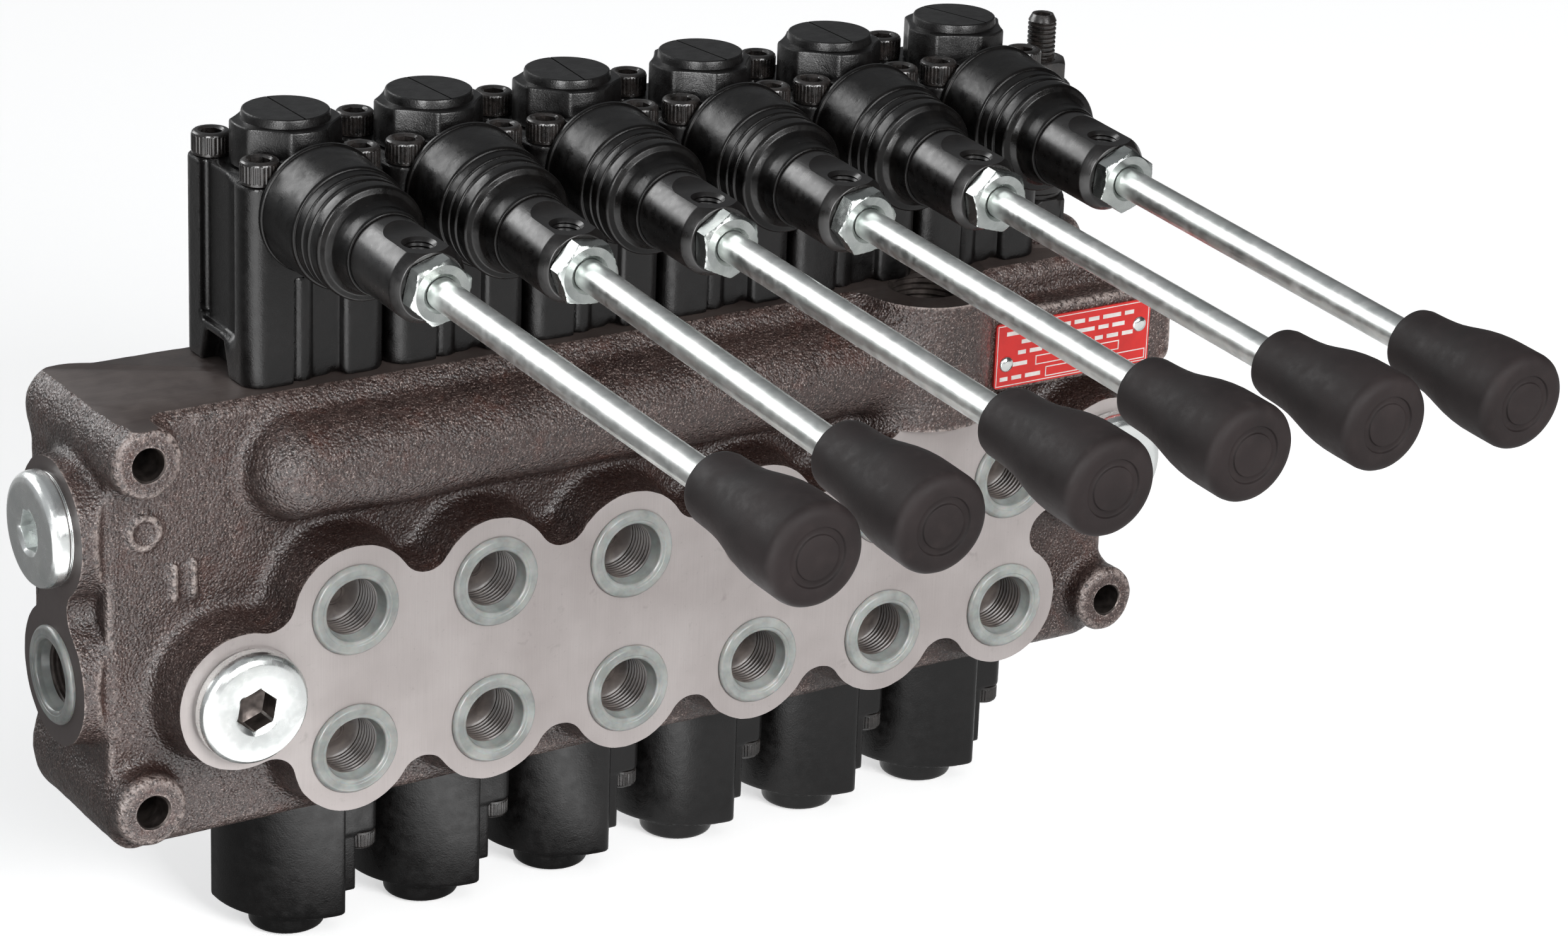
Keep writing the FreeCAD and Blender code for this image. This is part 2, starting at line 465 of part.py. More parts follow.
def spring_cap(x):
    """Bottom cap that houses the centring spring, with a round nose and two screw lugs."""
    box = block(x + CAP_LEFT, x + CAP_RIGHT, CAP_FRONT, CAP_BACK, CAP_BOTTOM, BOTTOM_Z)
    box = rounded(box, 8.5, Z_AXIS, lambda m: m.x < x and m.y < SPOOL_Y)
    box = rounded(box, 2.0, Z_AXIS, lambda m: m.x > x)
    nose = upright(NOSE_R, x, SPOOL_Y, NOSE_BOTTOM, CAP_BOTTOM + 1)
    nose = nose.makeFillet(1.2, [e for e in nose.Edges if e.BoundBox.ZMax < NOSE_BOTTOM + 0.1])
    lug = block(x + CAP_RIGHT - 3, x + 23.3, 29.8, 38.2, LUG_BOTTOM, BOTTOM_Z)
    lug = rounded(lug, 3.0, Z_AXIS, lambda m: m.x > x + 15)
    fin = block(x + CAP_RIGHT - 1, x + 14.2, 30.0, 33.0, -76.0, LUG_BOTTOM + 1)
    back_lug = block(x - 13.5, x - 2.5, CAP_BACK - 2, 57.3, LUG_BOTTOM, BOTTOM_Z)
    solid = fuse([box, nose, lug, fin, back_lug])
    cuts = [upright(CAP_BORE_R, x, SPOOL_Y, NOSE_BOTTOM + 3.5, BOTTOM_Z + 1)]
    dx, y = LUG_SCREW
    cuts.append(upright(CAP_SCREW_HEAD_R + 0.3, x + dx, y, CAP_BOTTOM - 1, LUG_BOTTOM))
    dx, y = BACK_SCREW
    cuts.append(upright(CAP_SCREW_HEAD_R + 0.3, x + dx, y, CAP_BOTTOM - 1, LUG_BOTTOM))
    for dx, y in (LUG_SCREW, BACK_SCREW):
        cuts.append(upright(CAP_SCREW_R + 0.02, x + dx, y, LUG_BOTTOM - 1, BOTTOM_Z + 1))
    for piece in cuts:
        solid = solid.cut(piece)
    return solid


def housing_screws():
    screws = []
    for x in STATIONS:
        for dx in (-SCREW_X, SCREW_X):
            for y in SCREW_YS:
                screws.append(cap_screw(V(x + dx, y, HOUSE_TOP), V(0, 0, -1), SCREW_R,
                                        HOUSE_TOP - TOP_Z + SCREW_GRIP, SCREW_HEAD_R, SCREW_HEAD_H))
    return Part.makeCompound(screws)


def spring_cap_screws():
    screws = []
    for x in STATIONS:
        for dx, y in (LUG_SCREW, BACK_SCREW):
            screws.append(cap_screw(V(x + dx, y, LUG_BOTTOM), Z_AXIS, CAP_SCREW_R,
                                    BOTTOM_Z - LUG_BOTTOM + 9, CAP_SCREW_HEAD_R, CAP_SCREW_HEAD_H))
    return Part.makeCompound(screws)


def centring_spring(x):
    length = SPRING_TOP - SPRING_BOTTOM - 2 * WIRE_R
    helix = Part.makeHelix(length / SPRING_TURNS, length, SPRING_R)
    start = V(SPRING_R, 0, 0)
    tangent = V(0, 1, length / SPRING_TURNS / (2 * math.pi * SPRING_R))
    wire = Part.Wire(Part.makeCircle(WIRE_R, start, tangent))
    coil = Part.Wire(helix.Edges).makePipeShell([wire], True, True)
    coil.translate(V(x, SPOOL_Y, SPRING_BOTTOM + WIRE_R))
    return coil


def spring_seat(x, z_low):
    ring = upright(SEAT_R, x, SPOOL_Y, z_low, z_low + SEAT_T)
    return ring.cut(upright(TAIL_R + 0.1, x, SPOOL_Y, z_low, z_low + SEAT_T))


def spring_seats():
    seats = []
    for x in STATIONS:
        seats.append(spring_seat(x, SPRING_TOP + 0.05))
        seats.append(spring_seat(x, SPRING_BOTTOM - 0.05 - SEAT_T))
    return Part.makeCompound(seats)


def spool_seals():
    """Rubber ring at the top and bottom of each spool bore."""
    rings = []
    for x in STATIONS:
        for z in (TOP_Z - SEAL_GROOVE_DEPTH / 2, BOTTOM_Z + SEAL_GROOVE_DEPTH / 2):
            rings.append(Part.makeTorus(SEAL_R, SEAL_CORD_R, V(x, SPOOL_Y, z)))
    return Part.makeCompound(rings)


def pivot_pins():
    return Part.makeCompound([rod(PIN_R, V(x - PIN_HALF + 0.1, PIVOT_Y, PIVOT_Z),
                                  V(x + PIN_HALF - 0.1, PIVOT_Y, PIVOT_Z)) for x in STATIONS])


# ---- lever parts --------------------------------------------------------------------
def lever_line(i):
    """Pivot point and outward unit vector of lever i."""
    droop = math.radians(LEVER_DROOP[i])
    return V(STATIONS[i], PIVOT_Y, PIVOT_Z), V(0, -math.cos(droop), -math.sin(droop))


def holder_flat(pivot, out, up):
    """Cutter for the flat on top of a holder, with a curved run-in."""
    run_r, flat_start = 40.0, CROSS_HOLE_AT - 6

    def at(along, height):
        return pivot - X_AXIS * 20 + out * along + up * height

    run_in = [at(flat_start - run_r * math.sin(angle), HOLDER_FLAT + run_r * (1 - math.cos(angle)))
              for angle in (0.42, 0.21, 0.0)]
    rest = [run_in[2], at(HOLDER_END + 2, HOLDER_FLAT), at(HOLDER_END + 2, HOLDER_R + 6),
            at(flat_start - run_r * math.sin(0.42), HOLDER_R + 6), run_in[0]]
    outline = Part.Wire([Part.Arc(*run_in).toShape()] + Part.makePolygon(rest).Edges)
    return Part.Face(outline).extrude(X_AXIS * 40)


def lever_holder(i):
    """Pivot eye, ball arm, shank and the round holder that takes the rod."""
    pivot, out = lever_line(i)
    x = STATIONS[i]
    ball = V(x, SPOOL_Y, BALL_Z)
    eye = rod(EYE_R, pivot - X_AXIS * EYE_HALF, pivot + X_AXIS * EYE_HALF)
    arm = rod(ARM_R, pivot, ball)
    shank = rod(SHANK_R, pivot, pivot + out * (HOLDER_START + 1))
    profile = [(HOLDER_START, 0), (HOLDER_START, HOLDER_R), (HOLDER_CHAMFER, HOLDER_R),
               (HOLDER_END, HOLDER_R - 1.7), (HOLDER_END, 0)]
    barrel = revolve_on(profile, pivot, out)
    up = X_AXIS.cross(out) * -1
    flat = holder_flat(pivot, out, up)
    cross = rod(CROSS_HOLE_R, pivot + out * CROSS_HOLE_AT, pivot + out * CROSS_HOLE_AT + up * 20)
    rod_hole = rod(ROD_R + 0.02, pivot + out * (HOLDER_END - 18), pivot + out * (HOLDER_END + 1))
    pin_hole = rod(PIN_R + EYE_FIT, pivot - X_AXIS * 10, pivot + X_AXIS * 10)
    solid = fuse([eye, arm, Part.makeSphere(BALL_R, ball), shank, barrel])
    for piece in (flat, cross, rod_hole, pin_hole):
        solid = solid.cut(piece)
    return solid


def lever_nut(i):
    pivot, out = lever_line(i)
    return hex_nut(NUT_FLATS, pivot + out * HOLDER_END, out, NUT_LENGTH, ROD_R + 0.02)


def lever_rod(i):
    pivot, out = lever_line(i)
    return rod(ROD_R, pivot + out * (HOLDER_END - 17), pivot + out * (LEVER_REACH[i] - 8))


def lever_grip(i):
    """Rubber grip: narrow inner end, flared body, rounded outer end with a recessed ring."""
    pivot, out = lever_line(i)
    end, start = LEVER_REACH[i], LEVER_REACH[i] - GRIP_LENGTH
    profile = [(start, 0), (start, GRIP_SMALL_R - 1.5), (start + 0.6, GRIP_SMALL_R - 0.4),
               (start + 2, GRIP_SMALL_R), (start + 9, GRIP_SMALL_R + 0.3), (start + 16, 9.9),
               (start + 22, 11.3), (start + 28, GRIP_LARGE_R), (end - 2.4, GRIP_LARGE_R),
               (end - 1.0, GRIP_LARGE_R - 0.7), (end, GRIP_LARGE_R - 2.4), (end, 6.6),
               (end - 0.6, 6.4), (end - 0.6, 5.4), (end, 5.2), (end, 0)]
    solid = revolve_on(profile, pivot, out)
    return solid.cut(rod(ROD_R + 0.02, pivot + out * (start - 1), pivot + out * (end - 7.9)))


def boot(i):
    """Rubber boot, hollow, with three rings and a cone down to the holder."""
    pivot, out = lever_line(i)
    base, shoulder, neck = BOOT_BASE_AT, BOOT_SHOULDER_AT, BOOT_NECK_AT
    outer = [(base, BOOT_BASE_R), (base + 10, BOOT_BASE_R - 0.5), (base + 10.4, 15.4), (base + 15, 15.3),
             (base + 15.4, 14.9), (shoulder, BOOT_SHOULDER_R), (shoulder + 1.2, BOOT_SHOULDER_R - 1.6),
             (shoulder + 4.2, BOOT_NECK_R + 0.1), (neck, BOOT_NECK_R)]
    inner = [(neck, HOLDER_R + 0.02), (shoulder + 3.4, HOLDER_R + 0.02),
             (shoulder - 1, BOOT_SHOULDER_R - BOOT_WALL), (base + 10, 14.2), (base, 14.2)]
    return revolve_on(outer + inner, pivot, out)


# ---- write the parts ----------------------------------------------------------------
def save(name, shape):
    shape.exportStep("parts/%s.step" % name)


def main():
    os.makedirs("parts", exist_ok=True)
    save("valve_body", valve_body())
    save("port_plugs", port_plugs())
    save("gallery_plugs", gallery_plugs())
    save("load_check_plugs", load_check_plugs())
    save("nameplate", nameplate())
    save("nameplate_rivets", nameplate_rivets())
    save("relief_valve", relief_valve())
    save("relief_lock_nut", relief_lock_nut())
    save("relief_adjuster", relief_adjuster())
    save("housing_caps", Part.makeCompound([housing_cap(x) for x in STATIONS]))
    save("spring_caps", Part.makeCompound([spring_cap(x) for x in STATIONS]))
    save("housing_screws", housing_screws())
    save("spring_cap_screws", spring_cap_screws())
    save("centring_springs", Part.makeCompound([centring_spring(x) for x in STATIONS]))
    save("spring_seats", spring_seats())
    save("spool_seals", spool_seals())
    save("pivot_pins", pivot_pins())
    for i, x in enumerate(STATIONS):
        number = i + 1
        save("lever_housing_%d" % number, lever_housing(x))
        save("spool_%d" % number, spool(x))
        save("lever_holder_%d" % number, lever_holder(i))
        save("lever_nut_%d" % number, lever_nut(i))
        save("lever_rod_%d" % number, lever_rod(i))
        save("lever_grip_%d" % number, lever_grip(i))
        save("boot_%d" % number, boot(i))


main()
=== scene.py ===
"""Looks of a six-spool hydraulic monoblock valve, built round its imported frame.

Shapes are worked out in millimetres in the frame's own axes and turned into metres as meshes.
"""
import math

import bpy
import numpy as np
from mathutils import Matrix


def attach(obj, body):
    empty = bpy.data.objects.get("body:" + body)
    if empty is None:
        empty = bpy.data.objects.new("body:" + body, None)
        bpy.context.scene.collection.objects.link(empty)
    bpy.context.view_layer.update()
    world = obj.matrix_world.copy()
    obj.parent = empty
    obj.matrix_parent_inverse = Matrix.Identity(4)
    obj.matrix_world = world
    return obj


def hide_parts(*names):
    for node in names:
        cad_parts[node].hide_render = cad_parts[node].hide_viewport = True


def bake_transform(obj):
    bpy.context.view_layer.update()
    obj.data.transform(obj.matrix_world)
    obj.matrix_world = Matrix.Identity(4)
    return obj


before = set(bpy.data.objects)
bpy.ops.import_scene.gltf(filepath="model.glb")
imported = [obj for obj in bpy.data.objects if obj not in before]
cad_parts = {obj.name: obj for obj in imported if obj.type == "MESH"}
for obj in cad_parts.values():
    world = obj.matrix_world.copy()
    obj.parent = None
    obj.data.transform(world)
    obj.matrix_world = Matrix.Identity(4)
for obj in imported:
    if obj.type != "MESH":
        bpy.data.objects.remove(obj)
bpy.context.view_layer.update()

import openvdb
from mathutils import Matrix, Vector

MM = 0.001
STATIONS = [-100.0, -60.0, -20.0, 20.0, 60.0, 100.0]
SPOOL_Y = 38.0
TOP_Z, BOTTOM_Z, WALL_Y, BACK_Y = 73.5, -41.5, 14.0, 58.0
LEFT_X, RIGHT_X = -161.0, 145.0
PORT_Z = 19.0
PORTS = [(x, z) for x in STATIONS for z in (PORT_Z, -PORT_Z)]
PORT_LOBE_R, PLUG_LOBE_R, VALLEY_R = 17.0, 18.0, 6.9
PORT_BORE_R, PLUG_BORE_R, END_PORT_R = 8.7, 10.45, 9.3
LEFT_PLUG, RIGHT_PLUG = (-130.0, 0.0), (132.0, 18.0)
END_PAD_X, END_PAD_Y, END_PLUG_Z, END_PORT_Z = -168.0, 30.0, 43.0, 3.5
INLET = (77.0, 12.0)
RELIEF, RELIEF_BOSS_TOP = (129.5, 38.0), 77.0
CHECK_Z, CHECK_FACE_Y = 48.0, 60.5
BULGE_LEFT, BULGE_Y, BULGE_Z, BULGE_R = -110.5, 13.0, 55.0, 13.5
MOUNTS = [(-153.0, 65.0), (-153.0, -27.5), (140.0, -27.5)]
RIVETS = [(99.3, 50.0), (143.6, 54.6)]
HOUSE_FRONT, HOUSE_BACK, HOUSE_TOP = 19.2, 57.3, 125.5
SCREW_X, SCREW_YS = 13.75, (24.7, 51.5)
PIVOT_Y, PIVOT_Z = 17.0, 118.5
CAP_TURNS = (0.0, 0.05, -0.1, 0.12, 0.0, 0.3)
NUT_TURNS = (0.3, 0.9, 0.6, 0.15, 0.75, 0.45)
LEVER_REACH = (223.0, 211.5, 217.8, 215.8, 214.2, 215.5)
LEVER_DROOP = (2.5, 3.9, 2.8, 2.8, 2.9, 3.2)
HOLDER_END = 55.2
CAP_BOTTOM, NOSE_BOTTOM, LUG_BOTTOM = -79.0, -84.0, -59.8
LUG_SCREWS = [(19.4, 34.0), (-8.0, 54.0)]


# ---- small mesh kit -----------------------------------------------------------------
def signed_volume(verts, faces):
    total = 0.0
    for face in faces:
        a = verts[face[0]]
        for i in range(1, len(face) - 1):
            total += np.dot(a, np.cross(verts[face[i]], verts[face[i + 1]]))
    return total


def outward(verts, faces):
    """A shape with its faces turned to point out."""
    verts = np.array(verts, float)
    if signed_volume(verts, faces) < 0:
        faces = [face[::-1] for face in faces]
    return verts, faces


def soften(points, radius, steps=3):
    """Round the inner corners of an open profile of (along, radius) points."""
    out = [points[0]]
    for before, here, after in zip(points, points[1:], points[2:]):
        a, p, b = (np.array(q, float) for q in (before, here, after))
        la, lb = np.linalg.norm(a - p), np.linalg.norm(b - p)
        reach = min(radius, 0.42 * la, 0.42 * lb)
        if reach < 0.02:
            out.append(here)
            continue
        start, end = p + (a - p) / la * reach, p + (b - p) / lb * reach
        for t in np.linspace(0, 1, steps + 1):
            out.append(tuple((1 - t) ** 2 * start + 2 * t * (1 - t) * p + t * t * end))
    out.append(points[-1])
    return out


def turned(rings, seg=96, loop=False):
    """Closed surface through rings (along, radius or list of radii) round the local Z axis."""
    angles = 2 * math.pi * np.arange(seg) / seg
    verts, rows = [], []
    for along, radius in rings:
        radii = np.broadcast_to(np.asarray(radius, float), (seg,))
        if radii.max() < 1e-6:
            rows.append([len(verts)])
            verts.append((0.0, 0.0, along))
        else:
            rows.append(list(range(len(verts), len(verts) + seg)))
            verts += list(zip(radii * np.cos(angles), radii * np.sin(angles), [along] * seg))
    faces = []
    pairs = list(zip(rows, rows[1:])) + ([(rows[-1], rows[0])] if loop else [])
    for low, high in pairs:
        for k in range(seg):
            m = (k + 1) % seg
            if len(low) == 1 and len(high) == 1:
                continue
            if len(low) == 1:
                faces.append((low[0], high[m], high[k]))
            elif len(high) == 1:
                faces.append((low[k], low[m], high[0]))
            else:
                faces.append((low[k], low[m], high[m], high[k]))
    return outward(verts, faces)


def hex_radii(flats, seg=96):
    """Radius of a hexagon at each angle, with a corner at angle zero."""
    angles = (2 * math.pi * np.arange(seg) / seg) % (math.pi / 3) - math.pi / 6
    return flats / 2 / np.cos(angles)


def prism(outline, low, high):
    """Straight-sided solid between two heights over a convex or plain outline."""
    n = len(outline)
    verts = [(x, y, low) for x, y in outline] + [(x, y, high) for x, y in outline]
    faces = [tuple(range(n))[::-1], tuple(range(n, 2 * n))]
    faces += [(k, (k + 1) % n, n + (k + 1) % n, n + k) for k in range(n)]
    return outward(verts, faces)


def placed(shape, origin, direction):
    """Turn a local shape so that its Z axis runs along direction from origin."""
    verts, faces = shape
    return verts @ np.array(turn_to(direction)).T + np.array(origin, float), faces


def spun(shape, angle):
    """Turn a local shape about its Z axis."""
    c, s = math.cos(angle), math.sin(angle)
    return shape[0] @ np.array(((c, s, 0), (-s, c, 0), (0, 0, 1))), shape[1]


def turn_to(direction):
    z = Vector(direction).normalized()
    side = Vector((1, 0, 0)) if abs(z.x) < 0.9 else Vector((0, 1, 0))
    y = z.cross(side).normalized()
    x = y.cross(z)
    return Matrix((x, y, z)).transposed()


def drill(radius, start, end, seg=64):
    """Plain cylinder along the local Z axis, used as a cutter."""
    return turned([(start, 0), (start, radius), (end, radius), (end, 0)], seg)


def joined(shapes):
    verts, faces, offset = [], [], 0
    for v, f in shapes:
        verts.append(np.asarray(v, float))
        faces += [tuple(i + offset for i in face) for face in f]
        offset += len(v)
    return np.concatenate(verts), faces


def box_shape(x0, x1, y0, y1, z0, z1):
    return prism([(x0, y0), (x1, y0), (x1, y1), (x0, y1)], z0, z1)


def make_mesh(name, shape, materials, sharp=32.0):
    verts, faces = shape
    mesh = bpy.data.meshes.new(name)
    mesh.from_pydata((np.asarray(verts) * MM).tolist(), [], [tuple(map(int, f)) for f in faces])
    for material in materials:
        mesh.materials.append(material)
    shade(mesh, sharp)
    return mesh


def shade(mesh, sharp):
    mesh.shade_smooth()
    mesh.set_sharp_from_angle(angle=math.radians(sharp))


def make_object(name, mesh, matrix=None):
    obj = bpy.data.objects.new(name, mesh)
    bpy.context.scene.collection.objects.link(obj)
    if matrix is not None:
        obj.matrix_world = matrix
    return obj


def piece(name, shape, materials, body, nodes=(), sharp=32.0):
    """A finished piece of the object that rides on one body."""
    mesh = shape if isinstance(shape, bpy.types.Mesh) else make_mesh(name, shape, materials, sharp)
    obj = make_object(name, mesh)
    return settle(obj, body, nodes)


def settle(obj, body, nodes=()):
    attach(obj, body)
    if nodes:
        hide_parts(*nodes)
    return obj


def cut_away(obj, tool):
    """Cut a throw-away tool object out of a piece; the cut faces take the tool's material."""
    modifier = obj.modifiers.new("cut", "BOOLEAN")
    modifier.operation = "DIFFERENCE"
    modifier.solver = "MANIFOLD"
    modifier.object = tool
    modifier.material_mode = "TRANSFER"
    bpy.context.view_layer.update()
    result = bpy.data.meshes.new_from_object(obj.evaluated_get(bpy.context.evaluated_depsgraph_get()))
    obj.modifiers.clear()
    old = obj.data
    obj.data = result
    bpy.data.meshes.remove(old)
    mesh = tool.data
    bpy.data.objects.remove(tool)
    bpy.data.meshes.remove(mesh)


def carve(shape, materials, cuts, name, sharp):
    """Mesh of a shape after its cuts, each a (shape, material) pair."""
    obj = make_object(name, make_mesh(name, shape, materials))
    for cut, material in cuts:
        cut_away(obj, make_object("tool", make_mesh("tool", cut, [material])))
    mesh = obj.data
    bpy.data.objects.remove(obj)
    mesh.name = name
    shade(mesh, sharp)
    return mesh


# ---- distance fields ----------------------------------------------------------------
def smooth_min(a, b, k):
    if np.ndim(k) == 0 and k <= 0:
        return np.minimum(a, b)
    h = np.maximum(k - np.abs(a - b), 0.0) / k
    return np.minimum(a, b) - h * h * k * 0.25


def rounded_rect(u, v, half_u, half_v, r):
    """Distance to a rectangle with rounded corners, centred on zero."""
    du, dv = np.abs(u) - (half_u - r), np.abs(v) - (half_v - r)
    return np.hypot(np.maximum(du, 0), np.maximum(dv, 0)) + np.minimum(np.maximum(du, dv), 0) - r


def extruded(flat, depth, r):
    """Distance to an outline extruded to a depth, with its rims rounded by r."""
    a, b = flat + r, depth + r
    return np.hypot(np.maximum(a, 0), np.maximum(b, 0)) + np.minimum(np.maximum(a, b), 0) - r


def slab(v, low, high):
    """Distance to the space between two parallel planes."""
    return np.maximum(low - v, v - high)


class Field:
    """Distance field on a regular grid."""

    def __init__(self, low, high, step):
        self.low, self.step = np.array(low, float), step
        count = np.ceil((np.array(high) - self.low) / step).astype(int) + 1
        self.axes = [(self.low[i] + step * np.arange(count[i])).astype(np.float32) for i in range(3)]
        self.d = np.full(tuple(count), 20.0, np.float32)

    def window(self, low, high):
        cut = tuple(slice(max(0, int(np.searchsorted(a, lo))), int(np.searchsorted(a, hi)))
                    for a, lo, hi in zip(self.axes, low, high))
        x, y, z = (self.axes[i][cut[i]].reshape([-1 if j == i else 1 for j in range(3)]) for i in range(3))
        return cut, x, y, z

    def add(self, shape, low, high, blend=0.0):
        cut, x, y, z = self.window(low, high)
        self.d[cut] = smooth_min(self.d[cut], shape(x, y, z), blend)

    def cut(self, shape, low, high, blend=0.0):
        cut, x, y, z = self.window(low, high)
        k = blend(x, y, z) if callable(blend) else blend
        self.d[cut] = -smooth_min(-self.d[cut], shape(x, y, z), k)

    def surface(self):
        grid = openvdb.FloatGrid(3.0)
        grid.copyFromArray(np.clip(self.d, -3.0, 3.0))
        grid.transform = openvdb.createLinearTransform(voxelSize=self.step)
        points, triangles, quads = grid.convertToPolygons(0.0, 0.0)
        verts = np.asarray(points, float) + self.low
        faces = [tuple(f) for f in triangles.tolist()] + [tuple(f) for f in quads.tolist()]
        sample = verts[quads[:, [0, 1, 2]].astype(int)]
        if np.einsum("ij,ij->i", sample[:, 0], np.cross(sample[:, 1], sample[:, 2])).sum() < 0:
            faces = [f[::-1] for f in faces]
        return verts, faces


def upright_d(x0, y0, r, z0, z1, rim):
    return lambda x, y, z: extruded(np.hypot(x - x0, y - y0) - r, slab(z, z0, z1), rim)


def through_d(x0, z0, r, y0, y1, rim):
    return lambda x, y, z: extruded(np.hypot(x - x0, z - z0) - r, slab(y, y0, y1), rim)


def block_d(x0, x1, y0, y1, z0, z1, r, rim=None):
    """Upright block: r rounds its vertical corners, rim its top and bottom edges."""
    cx, cy = (x0 + x1) / 2, (y0 + y1) / 2
    rim = r if rim is None else rim
    return lambda x, y, z: extruded(rounded_rect(x - cx, y - cy, (x1 - x0) / 2, (y1 - y0) / 2, r),
                                    slab(z, z0, z1), rim)


def value_noise(points, size, seed):
    """Smooth random value between -1 and 1 at each point."""
    table = np.random.default_rng(seed).uniform(-1, 1, (32, 32, 32))
    p = points / size
    cell = np.floor(p).astype(int)
    f = p - cell
    f = f * f * (3 - 2 * f)
    total = np.zeros(len(points))
    for corner in range(8):
        step = [(corner >> axis) & 1 for axis in range(3)]
        weight = np.ones(len(points))
        for axis in range(3):
            weight *= f[:, axis] if step[axis] else 1 - f[:, axis]
        total += weight * table[tuple((cell[:, axis] + step[axis]) % 32 for axis in range(3))]
    return total


def roughened(shape, layers, seed):
    """Push vertices along their normals by noise; layers are (feature size, height)."""
    verts, faces = shape
    mesh = make_mesh("rough", shape, [])
    normals = np.zeros(len(verts) * 3, np.float32)
    mesh.vertex_normals.foreach_get("vector", normals)
    bpy.data.meshes.remove(mesh)
    push = sum(height * value_noise(verts + 200.0, size, seed + i)
               for i, (size, height) in enumerate(layers))
    return verts + normals.reshape(-1, 3) * push[:, None], faces


# ---- materials ----------------------------------------------------------------------
def rgb(r, g, b):
    """Linear colour of an 8-bit sRGB colour."""
    return tuple(((c / 255 + 0.055) / 1.055) ** 2.4 if c > 10 else c / 255 / 12.92 for c in (r, g, b)) + (1.0,)


class Paint:
    """A Principled material with short calls for its texture nodes."""

    def __init__(self, name, **values):
        self.material = bpy.data.materials.new(name)
        self.material.use_nodes = True
        self.tree = self.material.node_tree
        self.shader = self.tree.nodes["Principled BSDF"]
        coords = self.node("ShaderNodeTexCoord").outputs["Object"]
        place = self.node("ShaderNodeObjectInfo").outputs["Location"]
        shift = self.node("ShaderNodeVectorMath", operation="MULTIPLY_ADD")
        self.link(place, shift.inputs[0])
        shift.inputs[1].default_value = (3.7, 5.3, 2.9)
        self.link(coords, shift.inputs[2])
        self.coords = shift.outputs[0]
        for key, value in values.items():
            self.set(key.replace("_", " "), value)

    def node(self, kind, **values):
        made = self.tree.nodes.new(kind)
        for key, value in values.items():
            setattr(made, key, value)
        return made

    def link(self, a, b):
        self.tree.links.new(a, b)

    def feed(self, socket, value):
        if isinstance(value, bpy.types.NodeSocket):
            self.link(value, socket)
        else:
            socket.default_value = value

    def set(self, name, value):
        socket = next(s for s in self.shader.inputs if s.name.lower() == name.lower())
        self.feed(socket, value)

    def noise(self, size, detail=2.0, stretch=(1, 1, 1), rough=0.55, warp=0.0):
        """Noise whose features are about size millimetres across."""
        scale = self.node("ShaderNodeVectorMath", operation="MULTIPLY")
        self.link(self.coords, scale.inputs[0])
        scale.inputs[1].default_value = [1000.0 / size / s for s in stretch]
        texture = self.node("ShaderNodeTexNoise")
        texture.inputs["Scale"].default_value = 1.0
        texture.inputs["Detail"].default_value = detail
        texture.inputs["Roughness"].default_value = rough
        texture.inputs["Distortion"].default_value = warp
        self.link(scale.outputs[0], texture.inputs["Vector"])
        return texture.outputs["Fac"]

    def cells(self, size):
        scale = self.node("ShaderNodeVectorMath", operation="SCALE")
        self.link(self.coords, scale.inputs[0])
        scale.inputs["Scale"].default_value = 1000.0 / size
        texture = self.node("ShaderNodeTexVoronoi")
        texture.inputs["Scale"].default_value = 1.0
        self.link(scale.outputs[0], texture.inputs["Vector"])
        return texture.outputs["Distance"]

    def span(self, value, low, high, to_low=0.0, to_high=1.0):
        made = self.node("ShaderNodeMapRange")
        self.link(value, made.inputs["Value"])
        for key, number in (("From Min", low), ("From Max", high), ("To Min", to_low), ("To Max", to_high)):
            made.inputs[key].default_value = number
        return made.outputs["Result"]

    def math(self, operation, a, b=0.0):
        made = self.node("ShaderNodeMath", operation=operation)
        self.feed(made.inputs[0], a)
        self.feed(made.inputs[1], b)
        return made.outputs[0]

    def mix(self, share, a, b):
        made = self.node("ShaderNodeMix", data_type="RGBA")
        self.feed(made.inputs[0], share)
        self.feed(made.inputs[6], a)
        self.feed(made.inputs[7], b)
        return made.outputs[2]

    def tones(self, size, detail, dark, light, low=0.35, high=0.65, warp=0.0):
        """Broad patches of two colours."""
        return self.mix(self.span(self.noise(size, detail, warp=warp), low, high), rgb(*dark), rgb(*light))

    def bump(self, height, distance, normal=None):
        """Bump from a height between 0 and 1 that stands distance millimetres tall."""
        made = self.node("ShaderNodeBump")
        made.inputs["Distance"].default_value = distance * MM
        self.link(height, made.inputs["Height"])
        if normal is not None:
            self.link(normal, made.inputs["Normal"])
        return made.outputs["Normal"]


